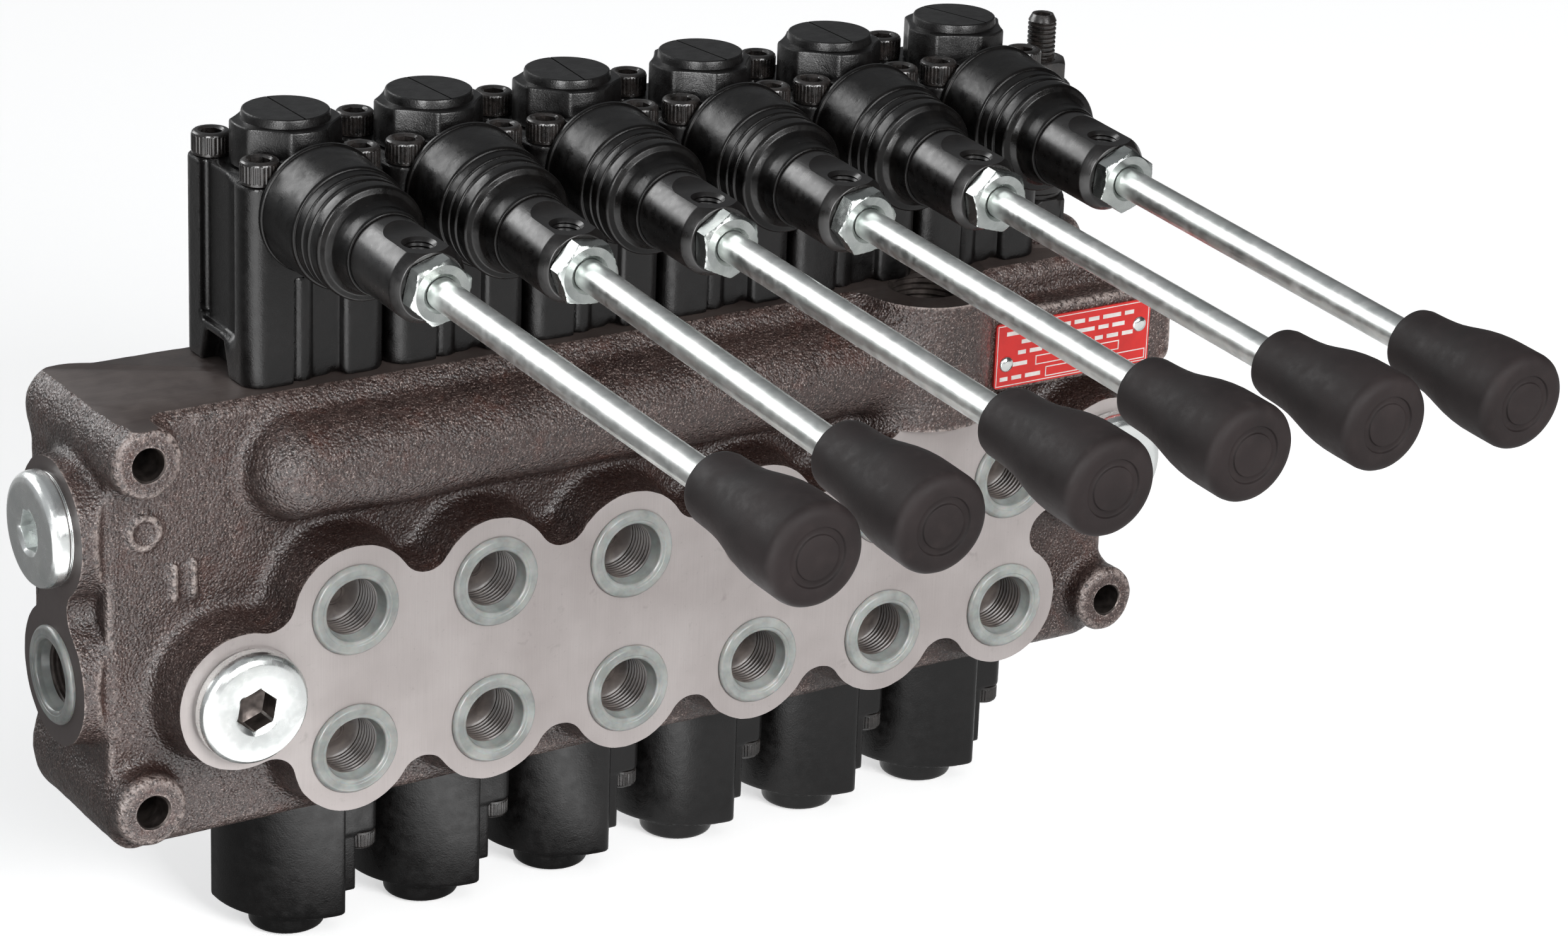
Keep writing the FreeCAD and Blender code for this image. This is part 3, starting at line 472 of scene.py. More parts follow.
def cast_iron():
    """Sand-cast iron: bright granular skin, rust patches, painted highlight on the ridges and rust-brown
    painted shade in the recesses.
    """
    m = Paint("cast_iron", specular_ior_level=0.6)
    broad = m.noise(26, 3)
    patch = m.noise(7, 4, warp=0.6)
    fine = m.noise(0.5, 3, rough=0.7)
    grain = m.noise(1.4, 3, rough=0.7)
    pebble = m.span(m.cells(0.8), 0.0, 0.75, 1.0, 0.0)
    base = m.mix(m.span(broad, 0.35, 0.65), rgb(54, 40, 37), rgb(74, 57, 53))
    base = m.mix(m.span(patch, 0.42, 0.72, 0.0, 0.4), base, rgb(96, 78, 73))
    rust = m.math("MULTIPLY", m.span(m.noise(11, 4, warp=0.8), 0.55, 0.72), 0.45)
    base = m.mix(rust, base, rgb(96, 54, 42))
    # painted highlight: the sharpest ridges, broken up by the grain, are painted pale
    point = m.node("ShaderNodeNewGeometry").outputs["Pointiness"]
    painted_ridge_highlight = m.math("MULTIPLY", m.span(point, 0.506, 0.535), m.span(grain, 0.36, 0.54))
    base = m.mix(m.math("MULTIPLY", painted_ridge_highlight, 0.8), base, rgb(186, 172, 166))
    base = m.mix(m.span(grain, 0.38, 0.52, 0.65, 0.0), base, rgb(34, 25, 23))
    base = m.mix(m.span(fine, 0.56, 0.66, 0.0, 0.75), base, rgb(196, 176, 168))
    # painted shade: a rust-tinted dark brown where the surface is occluded, in the recesses and under the bulge
    recess_shade = m.node("ShaderNodeAmbientOcclusion", samples=6)
    recess_shade.inputs["Distance"].default_value = 0.016
    base = m.mix(m.span(recess_shade.outputs["AO"], 0.45, 0.88, 0.8, 0.0), base, rgb(40, 23, 19))
    m.set("Base Color", base)
    m.set("Roughness", m.span(m.noise(1.3, 3), 0.35, 0.65, 0.20, 0.42))
    coarse = m.bump(m.noise(3.4, 3, rough=0.6), 0.4)
    coarse = m.bump(grain, 0.4, coarse)
    m.set("Normal", m.bump(pebble, 0.2, coarse))
    return m.material


def machined_face():
    """Milled pad: fine upright cutter lines, small stains and specks, and painted shade on faces turned to -X.
    """
    m = Paint("machined_face", metallic=0.2)
    lines = m.noise(0.3, 2, stretch=(1, 60, 60))
    smudge = m.noise(5.5, 5, warp=0.5, rough=0.65)
    speck = m.noise(1.1, 4, rough=0.75)
    base = m.tones(30, 3, (172, 164, 162), (190, 183, 181))
    base = m.mix(m.span(smudge, 0.62, 0.80, 0.0, 0.45), base, rgb(120, 110, 108))
    base = m.mix(m.span(speck, 0.62, 0.76, 0.0, 0.6), base, rgb(112, 104, 102))
    base = m.mix(m.span(lines, 0.3, 0.7, 0.0, 0.16), base, rgb(148, 139, 138))
    # painted shade: faces turned to -X, such as the end pad, are painted darker
    normal_for_shade = m.node("ShaderNodeSeparateXYZ")
    m.link(m.node("ShaderNodeNewGeometry").outputs["Normal"], normal_for_shade.inputs[0])
    base = m.mix(m.span(normal_for_shade.outputs["X"], -0.95, -0.7, 0.9, 0.0), base, rgb(72, 62, 60))
    m.set("Base Color", base)
    m.set("Roughness", m.span(smudge, 0.3, 0.7, 0.42, 0.55))
    m.set("Normal", m.bump(lines, 0.02, m.bump(speck, 0.02)))
    return m.material


def top_face():
    """Machined top of the casting, dulled by oil."""
    m = Paint("top_face", metallic=0.25)
    lines = m.noise(0.35, 3, stretch=(60, 1, 60))
    base = m.tones(16, 3, (74, 64, 61), (92, 82, 78))
    base = m.mix(m.span(lines, 0.3, 0.7, 0.0, 0.4), base, rgb(60, 52, 50))
    base = m.mix(m.span(m.noise(1.2, 4, rough=0.75), 0.60, 0.75, 0.0, 0.5), base, rgb(56, 48, 46))
    m.set("Base Color", base)
    m.set("Roughness", m.span(m.noise(4, 3), 0.35, 0.65, 0.38, 0.52))
    m.set("Normal", m.bump(lines, 0.02))
    return m.material


def bore_metal():
    m = Paint("bore_metal", metallic=0.7)
    base = m.tones(4, 3, (54, 48, 46), (96, 88, 84))
    m.set("Base Color", base)
    m.set("Roughness", m.span(m.noise(1.5, 2), 0.35, 0.65, 0.3, 0.5))
    m.set("Normal", m.bump(m.noise(0.6, 2, stretch=(6, 1, 6)), 0.04))
    return m.material


def black_housing():
    """Black enamel on a fine casting."""
    m = Paint("black_housing", specular_ior_level=0.4)
    base = m.tones(9, 4, (6, 5, 5), (15, 13, 13), 0.35, 0.7)
    m.set("Base Color", m.mix(m.span(m.noise(1.6, 5, rough=0.8), 0.66, 0.74, 0.0, 0.45), base, rgb(60, 54, 52)))
    m.set("Roughness", m.span(m.noise(3.0, 4), 0.35, 0.65, 0.27, 0.40))
    soft = m.bump(m.noise(2.4, 2), 0.06)
    m.set("Normal", m.bump(m.noise(0.45, 2), 0.05, soft))
    return m.material


def black_steel():
    """Blackened turned steel."""
    m = Paint("black_steel", specular_ior_level=0.5)
    rings = m.noise(0.3, 2, stretch=(30, 30, 1))
    m.set("Base Color", m.tones(5, 4, (12, 10, 10), (24, 21, 20), 0.35, 0.7))
    m.set("Roughness", m.span(m.noise(2, 3), 0.35, 0.65, 0.26, 0.36))
    m.set("Normal", m.bump(rings, 0.012))
    return m.material


def black_screw():
    m = Paint("black_screw", specular_ior_level=0.7)
    m.set("Base Color", m.tones(2.5, 3, (20, 18, 17), (48, 43, 41), 0.35, 0.7))
    m.set("Roughness", m.span(m.noise(1.2, 3), 0.35, 0.65, 0.20, 0.36))
    m.set("Normal", m.bump(m.noise(0.4, 2), 0.015))
    return m.material


def zinc(name="zinc", light=(240, 242, 240), dark=(204, 209, 207), rough=(0.14, 0.26)):
    """Bright zinc plate with faint blue and straw patches and fine scratches."""
    m = Paint(name, metallic=1.0)
    base = m.tones(8, 4, dark, light, 0.35, 0.68, 0.6)
    base = m.mix(m.span(m.noise(13, 3), 0.55, 0.75, 0.0, 0.3), base, rgb(214, 220, 212))
    m.set("Base Color", base)
    m.set("Roughness", m.span(m.noise(2.2, 4), 0.35, 0.68, *rough))
    m.set("Normal", m.bump(m.noise(0.5, 3, stretch=(1, 1, 9)), 0.003))
    return m.material


def boot_rubber():
    m = Paint("boot_rubber", specular_ior_level=0.24)
    base = m.tones(6, 4, (7, 6, 6), (15, 13, 12), 0.35, 0.7)
    m.set("Base Color", m.mix(m.span(m.noise(1.4, 5, rough=0.8), 0.67, 0.74, 0.0, 0.6), base, rgb(84, 76, 72)))
    m.set("Roughness", m.span(m.noise(4, 4, warp=0.4), 0.35, 0.68, 0.22, 0.42))
    m.set("Normal", m.bump(m.noise(0.5, 2), 0.02, m.bump(m.noise(5, 2), 0.12)))
    return m.material


def grip_rubber():
    """Matt moulded rubber with a dusty bloom."""
    m = Paint("grip_rubber", specular_ior_level=0.22)
    dust = m.noise(4.5, 5, rough=0.65)
    base = m.tones(18, 3, (33, 27, 27), (44, 37, 37))
    base = m.mix(m.span(dust, 0.52, 0.75, 0.0, 0.35), base, rgb(60, 53, 52))
    m.set("Base Color", base)
    m.set("Roughness", m.span(dust, 0.35, 0.7, 0.56, 0.74))
    m.set("Normal", m.bump(m.noise(0.35, 2), 0.02, m.bump(m.noise(2.5, 3), 0.03)))
    return m.material


def cap_plastic():
    """Milky translucent plastic rim."""
    m = Paint("cap_plastic", roughness=0.24, ior=1.45)
    m.set("Base Color", m.tones(6, 3, (150, 154, 151), (180, 183, 180)))
    m.set("Subsurface Weight", 0.25)
    m.set("Subsurface Scale", 0.0015)
    m.set("Normal", m.bump(m.noise(2.5, 2), 0.008))
    return m.material


def cap_inside():
    """Thin plastic seen against the dark bore behind it."""
    m = Paint("cap_inside", roughness=0.35)
    m.set("Base Color", m.tones(5, 3, (66, 58, 55), (106, 97, 92), warp=0.5))
    m.set("Coat Weight", 0.3)
    m.set("Coat Roughness", 0.3)
    m.set("Normal", m.bump(m.noise(1.5, 2), 0.05))
    return m.material


def plate_red():
    m = Paint("plate_red", roughness=0.4)
    m.set("Base Color", m.tones(7, 4, (216, 36, 31), (198, 30, 26), 0.4, 0.7))
    m.set("Coat Weight", 0.25)
    m.set("Normal", m.bump(m.noise(1.2, 3), 0.02))
    return m.material


def plate_white():
    m = Paint("plate_white", roughness=0.45)
    m.set("Base Color", m.tones(3, 3, (240, 236, 232), (222, 214, 210), 0.4, 0.7))
    return m.material


def hidden_steel():
    """Ground and lapped steel of the inner parts."""
    m = Paint("hidden_steel", metallic=0.95)
    m.set("Base Color", m.tones(5, 4, (150, 150, 148), (196, 196, 192), 0.35, 0.68))
    m.set("Roughness", m.span(m.noise(1.4, 3), 0.35, 0.68, 0.16, 0.32))
    m.set("Normal", m.bump(m.noise(0.4, 2, stretch=(8, 8, 1)), 0.01))
    return m.material


CAST, FACE, TOP, BORE = cast_iron(), machined_face(), top_face(), bore_metal()
ENAMEL, BLACK_STEEL, SCREW = black_housing(), black_steel(), black_screw()
ZINC, RUBBER, GRIP = zinc(), boot_rubber(), grip_rubber()
NUT_ZINC = zinc("nut_zinc", (176, 180, 178), (146, 151, 149), (0.20, 0.30))
SATIN = zinc("satin_zinc", (232, 233, 231), (200, 204, 202), (0.28, 0.40))
PLUG_ZINC = zinc("plug_zinc", (238, 240, 239), (224, 228, 227), (0.22, 0.30))
CAP_RIM, CAP_CUP, RED, WHITE, STEEL = cap_plastic(), cap_inside(), plate_red(), plate_white(), hidden_steel()


# ---- cast body ----------------------------------------------------------------------
def lobe_outline(lobes, joins):
    """Distance to round lobes joined by concave valleys; joins are (first, second, side)."""
    valleys = []
    for i, j, side in joins:
        (first, first_r), (second, second_r) = lobes[i], lobes[j]
        gap = math.dist(first, second)
        a, b = first_r + VALLEY_R, second_r + VALLEY_R
        along = (a * a - b * b + gap * gap) / (2 * gap)
        off = side * math.sqrt(a * a - along * along)
        du, dv = (second[0] - first[0]) / gap, (second[1] - first[1]) / gap
        centre = (first[0] + along * du - off * dv, first[1] + along * dv + off * du)
        valleys.append((centre, first, second))

    def flat(u, v):
        d = None
        for (cu, cv), r in lobes:
            one = np.hypot(u - cu, v - cv) - r
            d = one if d is None else np.minimum(d, one)
        for (cu, cv), (au, av), (bu, bv) in valleys:
            def left_of(pu, pv, qu, qv, u, v):
                return (qu - pu) * (v - pv) - (qv - pv) * (u - pu)
            turn = left_of(cu, cv, au, av, bu, bv)
            web = ((turn * left_of(cu, cv, au, av, u, v) > 0) & (turn * left_of(cu, cv, bu, bv, u, v) < 0)
                   & (turn * left_of(au, av, bu, bv, u, v) > -20.0))
            d = np.where(web, VALLEY_R - np.hypot(u - cu, v - cv), d)
        return d
    return flat


def casting_field():
    f = Field((-171, -9, -46), (159, 65, 81), 0.75)
    cx, cz = (LEFT_X + RIGHT_X) / 2, (74.0 + BOTTOM_Z - 0.4) / 2
    half_x, half_z = (RIGHT_X - LEFT_X) / 2, (74.0 - BOTTOM_Z + 0.4) / 2

    def block(x, y, z):
        rim = 4.6 - 3.2 * np.clip((-149.0 - x) / 9.0, 0, 1)
        flat = rounded_rect(x - cx, z - cz, half_x, half_z, 9.0)
        return extruded(flat, slab(y, WALL_Y, BACK_Y), rim)
    f.add(block, (-171, -9, -46), (159, 65, 81))

    lobes = [((x, z), PORT_LOBE_R) for z in (PORT_Z, -PORT_Z) for x in STATIONS]
    lobes += [(LEFT_PLUG, PLUG_LOBE_R), (RIGHT_PLUG, PLUG_LOBE_R)]
    joins = [(i, i + 1, 1) for i in range(5)] + [(i, i + 1, -1) for i in range(6, 11)]
    joins += [(12, 0, 1), (12, 6, -1), (5, 13, 1), (5, 13, -1), (5, 11, 1)]
    outline = lobe_outline(lobes, joins)

    def pads(x, y, z):
        flare = np.clip(y / 14.0, 0, 1.2)
        core = np.abs(z) - (PORT_Z + 0.4) * np.clip((x + 130.0) / 30.0, 0, 1)
        middle = np.maximum(np.abs(x + 15.0) - 115.0, 0.85 * core)
        flat = np.minimum(outline(x, z) - 2.3 * flare * flare, middle)
        return np.maximum(flat, slab(y, -2.0, 24.0))
    f.add(pads, (-160, -9, -46), (157, 30, 50), 3.0)

    pad_lobes = [((END_PAD_Y, z), PLUG_LOBE_R) for z in (END_PLUG_Z, END_PORT_Z)]
    pad = lobe_outline(pad_lobes, [(0, 1, 1), (0, 1, -1)])

    def end_pad(x, y, z):
        flare = np.clip((x - END_PAD_X) / 8.0, 0, 1.3)
        flat = pad(y, z) - 1.6 * flare * flare
        front = 14.4 - y - np.clip(-161.2 - x, 0, 4.0)
        return np.maximum(np.maximum(flat, front), slab(x, -170.0, -158.0))
    f.add(end_pad, (-171, 4, -22), (-146, 58, 68), 1.6)

    def bulge(x, y, z):
        along = np.clip(x, BULGE_LEFT, INLET[0])
        return np.sqrt((x - along) ** 2 + (y - BULGE_Y) ** 2 + (z - BULGE_Z) ** 2) - BULGE_R
    f.add(bulge, (-132, -4, 34), (97, 34, 76), 4.0)

    def inlet(x, y, z):
        r = np.hypot(x - INLET[0], y - INLET[1])
        cone = np.clip((z - 22.0) / 16.0, 0, 1)
        return extruded(r - (9.0 + 9.0 * cone * (2 - cone)), slab(z, 20.0, 76.0), 1.5)
    f.add(inlet, (52, -9, 14), (102, 36, 80), 6.0)

    for x, z in MOUNTS:
        f.add(through_d(x, z, 9.3, 5.5, BACK_Y, 1.9), (x - 14, 0, z - 14), (x + 14, 64, z + 14), 3.6)
    px, pz = (93.0 + 155.5) / 2, (41.5 + 64.5) / 2
    f.add(lambda x, y, z: extruded(rounded_rect(x - px, z - pz, 31.25, 11.5, 4.0), slab(y, 5.0, 34.0), 1.2),
          (86, 0, 35), (158, 40, 72), 3.0)
    f.add(upright_d(RELIEF[0], RELIEF[1], 13.5, 60.0, RELIEF_BOSS_TOP, 2.6), (112, 20, 56), (147, 56, 81), 3.5)
    for x in STATIONS:
        f.add(through_d(x, CHECK_Z, 14.0, 50.0, CHECK_FACE_Y, 1.4), (x - 18, 46, 30), (x + 18, 65, 66), 4.0)

    # plain casting marks: a ring and two bars
    def ring(x, y, z):
        return np.hypot(np.hypot(x + 150.8, z - 44.0) - 3.9, y - WALL_Y) - 1.15
    f.add(ring, (-159, 9, 35), (-142, 19, 53), 0.6)
    for dx in (-2.7, 2.7):
        f.add(lambda x, y, z, dx=dx: extruded(rounded_rect(x + 140.3 - dx, z - 29.3, 1.0, 5.0, 0.9),
                                              np.abs(y - WALL_Y) - 1.2, 0.6),
              (-147, 9, 20), (-134, 19, 39), 0.6)
    return f


def casting():
    rough = roughened(casting_field().surface(), ((30, 0.30), (9, 0.16), (3.2, 0.11), (1.7, 0.06)), 11)
    cuts = []
    cuts.append((box_shape(-165, 158, -12, 0, -46, 38.5), FACE))
    cuts.append((box_shape(-174, END_PAD_X, 5, 56, -30, 68), FACE))
    cuts.append((box_shape(-175, 118.9, -12, 66, TOP_Z, 84), TOP))
    around = [(RELIEF[0] + 15.2 * math.cos(a), RELIEF[1] + 15.2 * math.sin(a))
              for a in np.linspace(math.radians(135), math.radians(-135), 49)]
    outline = [(118.8, RELIEF[1] + 10.75)] + around + [(118.8, RELIEF[1] - 10.75), (118.8, -12), (160, -12),
                                                       (160, 66), (118.8, 66)]
    cuts.append((prism(outline, TOP_Z, 84), TOP))
    cuts.append((box_shape(-175, 160, -12, 66, -50, BOTTOM_Z), FACE))

    for port_drill, plug_drill, paint in ((drill(PORT_BORE_R, -2, 17), drill(PLUG_BORE_R, -2, 16), BORE),
                                          (drill(12.2, -2, 0.2, 72), drill(15.0, -2, 0.2, 72), FACE)):
        holes = [placed(port_drill, (x, 0, z), (0, 1, 0)) for x, z in PORTS]
        holes += [placed(plug_drill, (x, 0, z), (0, 1, 0)) for x, z in (LEFT_PLUG, RIGHT_PLUG)]
        cuts.append((joined(holes), paint))
    ends = [placed(drill(r, -2, 16), (END_PAD_X, END_PAD_Y, z), (1, 0, 0))
            for r, z in ((PLUG_BORE_R, END_PLUG_Z), (END_PORT_R, END_PORT_Z))]
    bolts = [placed(turned([(-2, 0), (-2, 4.9), (-0.4, 4.9), (0.35, 4.25), (60, 4.25), (60, 0)], 48),
                    (x, 5.6, z), (0, 1, 0)) for x, z in MOUNTS]
    threads = [(2, 0), (2, 10.1), (0, 10.1), (-0.8, 9.3)]
    for k in range(9):
        threads += [(-1.4 - 1.6 * k, 9.95), (-2.2 - 1.6 * k, 9.3)]
    inlet = placed(turned(threads + [(-18, 9.3), (-18, 0)], 64), (INLET[0], INLET[1], TOP_Z), (0, 0, 1))
    cuts.append((joined(ends + bolts + [inlet]), BORE))
    spools = [placed(drill(8.12, -44, 76, 48), (x, SPOOL_Y, 0), (0, 0, 1)) for x in STATIONS]
    cuts.append((joined(spools), BORE))
    return carve(rough, [CAST], cuts, "casting", 36.0)


piece("body_casting", casting(), None, "valve", ["valve_body"])


# ---- plugs and caps on the body -----------------------------------------------------
def paint_faces(mesh, choose):
    """Set each face's material index from its centre in millimetres."""
    count = len(mesh.polygons)
    centres = np.zeros(count * 3, np.float32)
    mesh.polygons.foreach_get("center", centres)
    index = choose(centres.reshape(-1, 3) / MM).astype(np.int32)
    mesh.polygons.foreach_set("material_index", index)


def socket_plug_shape(thread_r, flange_r, head, depth, socket=10.0):
    """Plug with a rolled rim, chamfered hexagon socket and grooved thread; local Z points out."""
    hexa = hex_radii(socket)
    face_r = flange_r - 2.6
    outer = [(-depth, 0), (-depth, thread_r - 1.0), (-depth + 1.0, thread_r)]
    z = -depth + 1.8
    while z < -2.6:
        outer += [(z, thread_r), (z + 0.75, thread_r - 0.85)]
        z += 1.5
    outer += [(-1.8, thread_r - 0.9), (-0.2, thread_r - 0.9), (-0.2, flange_r - 0.9), (0.45, flange_r - 0.7),
              (0.6, flange_r - 1.1), (1.1, flange_r - 1.1), (1.25, flange_r - 0.15), (1.6, flange_r),
              (head - 2.6, flange_r), (head - 1.5, flange_r - 0.35), (head - 0.6, flange_r - 1.2),
              (head - 0.1, face_r), (head, face_r - 0.7), (head, socket / 2 + 1.7)]
    rings = soften(outer, 0.35)
    rings += [(head - 0.12, socket / 2 + 1.35), (head - 0.75, hexa), (head - 1.0, hexa - 0.05),
              (head - 7.0, hexa - 0.05), (head - 8.2, 2.6), (head - 8.2, 0)]
    return turned(rings)


def port_cap_shape(flange_r, bore_r):
    """Transit cap: stepped rim outside, cup with a moulded thread inside; local Z points out."""
    cup = bore_r - 0.1
    outer = [(-13.0, 0), (-13.0, cup - 0.6), (-12.4, cup), (-0.2, cup), (-0.2, flange_r - 0.15),
             (0.1, flange_r), (0.7, flange_r), (1.15, flange_r - 0.35), (1.45, flange_r - 0.8),
             (1.5, flange_r - 1.1), (1.5, flange_r - 2.35), (1.34, flange_r - 2.5), (1.34, flange_r - 3.15),
             (0.9, flange_r - 3.6), (-0.4, flange_r - 3.8), (-2.4, cup - 1.0)]
    rings = soften(outer, 0.2)
    z = -2.9
    while z > -11.0:
        rings += [(z, cup - 0.65), (z - 0.3, cup - 1.15), (z - 0.65, cup - 1.15), (z - 0.95, cup - 0.65)]
        z -= 1.35
    rings += [(-11.9, cup - 1.1), (-12.3, cup - 1.7), (-12.3, 3.4), (-12.0, 3.1), (-12.0, 2.6), (-12.3, 2.3),
              (-12.3, 0)]
    return turned(rings)


def body_fittings():
    plug = socket_plug_shape(10.35, 14.8, 6.5, 14.0)
    spots = [((x, 0, z), (0, -1, 0)) for x, z in (LEFT_PLUG, RIGHT_PLUG)]
    spots.append(((END_PAD_X, END_PAD_Y, END_PLUG_Z), (-1, 0, 0)))
    shapes = [placed(spun(plug, turn), origin, out) for (origin, out), turn in zip(spots, (0.35, 0.9, 0.15))]
    mesh = make_mesh("gallery_plug_set", joined(shapes), [PLUG_ZINC, BORE])
    # painted shade: the deep part of the socket in the two front plugs takes the dark bore metal
    paint_faces(mesh, lambda c: (c[:, 1] > -5.4) & (np.minimum(*(
        np.hypot(c[:, 0] - x, c[:, 2] - z) for x, z in (LEFT_PLUG, RIGHT_PLUG))) < 5.6))
    piece("gallery_plug_set", mesh, None, "valve", ["gallery_plugs"])

    check = socket_plug_shape(8.1, 11.5, 4.5, 12.0, 8.0)
    checks = [placed(check, (x, CHECK_FACE_Y, CHECK_Z), (0, 1, 0)) for x in STATIONS]
    piece("load_check_set", joined(checks), [PLUG_ZINC], "valve", ["load_check_plugs"])

    small, large = port_cap_shape(12.0, PORT_BORE_R), port_cap_shape(12.7, END_PORT_R)
    caps = [placed(small, (x, 0, z), (0, -1, 0)) for x, z in PORTS]
    mesh = make_mesh("port_cap_set", joined(caps), [CAP_RIM, CAP_CUP], 40.0)
    paint_faces(mesh, lambda c: c[:, 1] > 2.1)
    piece("port_cap_set", mesh, None, "valve", ["port_plugs"])
    end = placed(large, (END_PAD_X, END_PAD_Y, END_PORT_Z), (-1, 0, 0))
    mesh = make_mesh("end_port_cap", end, [CAP_RIM, CAP_CUP], 40.0)
    paint_faces(mesh, lambda c: c[:, 0] > END_PAD_X + 2.1)
    piece("end_port_cap", mesh, None, "valve")


def nameplate():
    """Red plate with raised white frames; the wording is left out."""
    x0, x1, z0, z1, y = 95.6, 147.2, 43.2, 61.6, 4.2
    outline = []
    corners = ((x1 - 1, z1 - 1, 0), (x0 + 1, z1 - 1, 90), (x0 + 1, z0 + 1, 180), (x1 - 1, z0 + 1, 270))
    for cx, cz, start in corners:
        outline += [(cx + math.cos(math.radians(start + a)), cz + math.sin(math.radians(start + a)))
                    for a in (0, 30, 60, 90)]
    verts, faces = prism(outline, 0, 1)
    plate = np.column_stack([verts[:, 0], y + 0.8 * verts[:, 2], verts[:, 1]])
    holes = [placed(drill(1.3, -3, 3, 24), (x, y, z), (0, 1, 0)) for x, z in RIVETS]
    mesh = carve(outward(plate, faces), [RED], [(joined(holes), RED)], "nameplate_red", 32.0)
    piece("nameplate_red", mesh, None, "valve", ["nameplate"])
    bars = []

    def bar(u0, u1, w0, w1):
        bars.append(box_shape(u0, u1, y - 0.12, y + 0.2, w0, w1))

    def field(u0, u1, w0, w1, line=0.28):
        bar(u0, u1, w0, w0 + line)
        bar(u0, u1, w1 - line, w1)
        bar(u0, u0 + line, w0 + line, w1 - line)
        bar(u1 - line, u1, w0 + line, w1 - line)
    field(x0 + 0.5, x1 - 0.5, z0 + 0.5, z1 - 0.5, 0.22)
    field(112.5, 146.0, 44.4, 47.3)
    field(109.0, 137.0, 48.3, 51.0)
    rng = np.random.default_rng(3)
    for u0, u1, w in ((97.4, 110.8, 45.2), (101.5, 107.6, 49.0), (103.0, 141.5, 52.2), (104.0, 138.5, 55.2),
                      (99.0, 141.5, 58.0)):
        u = u0
        while u < u1 - 1.5:
            word = min(rng.uniform(2.2, 6.5), u1 - u)
            bar(u, u + word, w, w + 1.15)
            u += word + 1.3
    piece("nameplate_print", joined(bars), [WHITE], "valve")
    dome = soften([(-1.2, 0), (-1.2, 1.25), (0, 1.25), (0, 2.3), (0.55, 2.0), (0.9, 1.1), (1.0, 0)], 0.25)
    rivets = [placed(turned(dome, 32), (x, y, z), (0, -1, 0)) for x, z in RIVETS]
    piece("nameplate_rivet_pair", joined(rivets), [ZINC], "valve", ["nameplate_rivets"])


def relief_valve():
    flats, corner = 17.0, 17.0 / math.sqrt(3)
    hexa, base = hex_radii(flats), RELIEF_BOSS_TOP
    rings = [(55, 0), (55, 5.9), (base, 5.9)]
    for dz, limit in ((0.0, flats / 2 - 0.2), (0.3, flats / 2 + 0.3), (0.8, corner), (7.2, corner),
                      (7.7, flats / 2 + 0.3), (8.0, flats / 2 - 0.2)):
        rings.append((base + dz, np.minimum(hexa, limit)))
    rings += soften([(base + 8.0, 7.7), (base + 9.2, 7.7), (base + 9.4, 8.6), (105.5, 8.6), (105.7, 8.1),
                     (106.9, 8.1), (107.1, 8.6), (116.0, 8.6), (117.0, 7.6), (117.0, 4.4)], 0.3)
    rings += [(116.4, 3.95), (94.0, 3.95), (94.0, 0)]
    piece("relief_barrel", placed(turned(rings), (*RELIEF, 0), (0, 0, 1)), [BLACK_STEEL], "valve",
          ["relief_valve"])
    piece("relief_nut", placed(hex_nut_shape(13.0, 6.5, 3.95), (*RELIEF, 117.05), (0, 0, 1)), [SCREW], "valve",
          ["relief_lock_nut"])
    hexs = hex_radii(4.0, 72)
    screw = [(95, 0), (95, 3.1), (96, 3.8)]
    z = 96.6
    while z < 133.8:
        screw += [(z, 3.86), (z + 0.22, 3.86), (z + 0.55, 3.25), (z + 0.75, 3.25), (z + 1.08, 3.86)]
        z += 1.25
    screw += [(134.7, 3.5), (135.8, 2.9), (135.8, 2.65), (135.5, hexs), (130.8, hexs), (130.0, 0)]
    piece("relief_screw", placed(turned(screw, 72), (*RELIEF, 0), (0, 0, 1)), [SCREW], "valve",
          ["relief_adjuster"], 50.0)


def hex_nut_shape(flats, length, hole, seg=96):
    """Chamfered hexagon nut with a countersunk plain hole; it starts at zero."""
    hexa, corner = hex_radii(flats, seg), flats / math.sqrt(3)
    start = flats / 2 - 0.35
    steps = [(t, start + t * 1.75) for t in (0.0, 0.18, 0.36, 0.54, 0.72)] + [(0.9, corner)]
    rings = [(0.5, hole), (0.0, hole + 0.7)]
    rings += [(dz, np.minimum(hexa, r)) for dz, r in steps]
    rings += [(length - dz, np.minimum(hexa, r)) for dz, r in steps[::-1]]
    rings += [(length, hole + 0.9), (length - 0.7, hole)]
    return turned(rings, seg, loop=True)


# ---- screws -------------------------------------------------------------------------
def cap_screw_shape(shank_r, shank, head_r, head_h, seg=120):
    """Knurled socket head screw; local Z points out of the head, whose underside is at zero."""
    knurl = np.where((np.arange(seg) % 4) < 2, 0.0, -0.17)
    hexa = hex_radii(head_r, seg)
    rings = [(-shank, 0), (-shank, shank_r - 0.5), (-shank + 0.5, shank_r), (0, shank_r), (0, head_r - 0.35),
             (0.15, head_r - 0.1), (0.75, head_r - 0.1), (0.9, head_r + knurl), (head_h - 1.0, head_r + knurl),
             (head_h - 0.8, head_r - 0.12), (head_h - 0.45, head_r - 0.22), (head_h - 0.1, head_r - 0.6),
             (head_h, head_r - 0.9), (head_h, head_r * 0.62 + 0.25), (head_h - 0.25, head_r * 0.60),
             (head_h - 0.5, hexa), (head_h * 0.42, hexa), (head_h * 0.3, 0)]
    return turned(rings, seg)


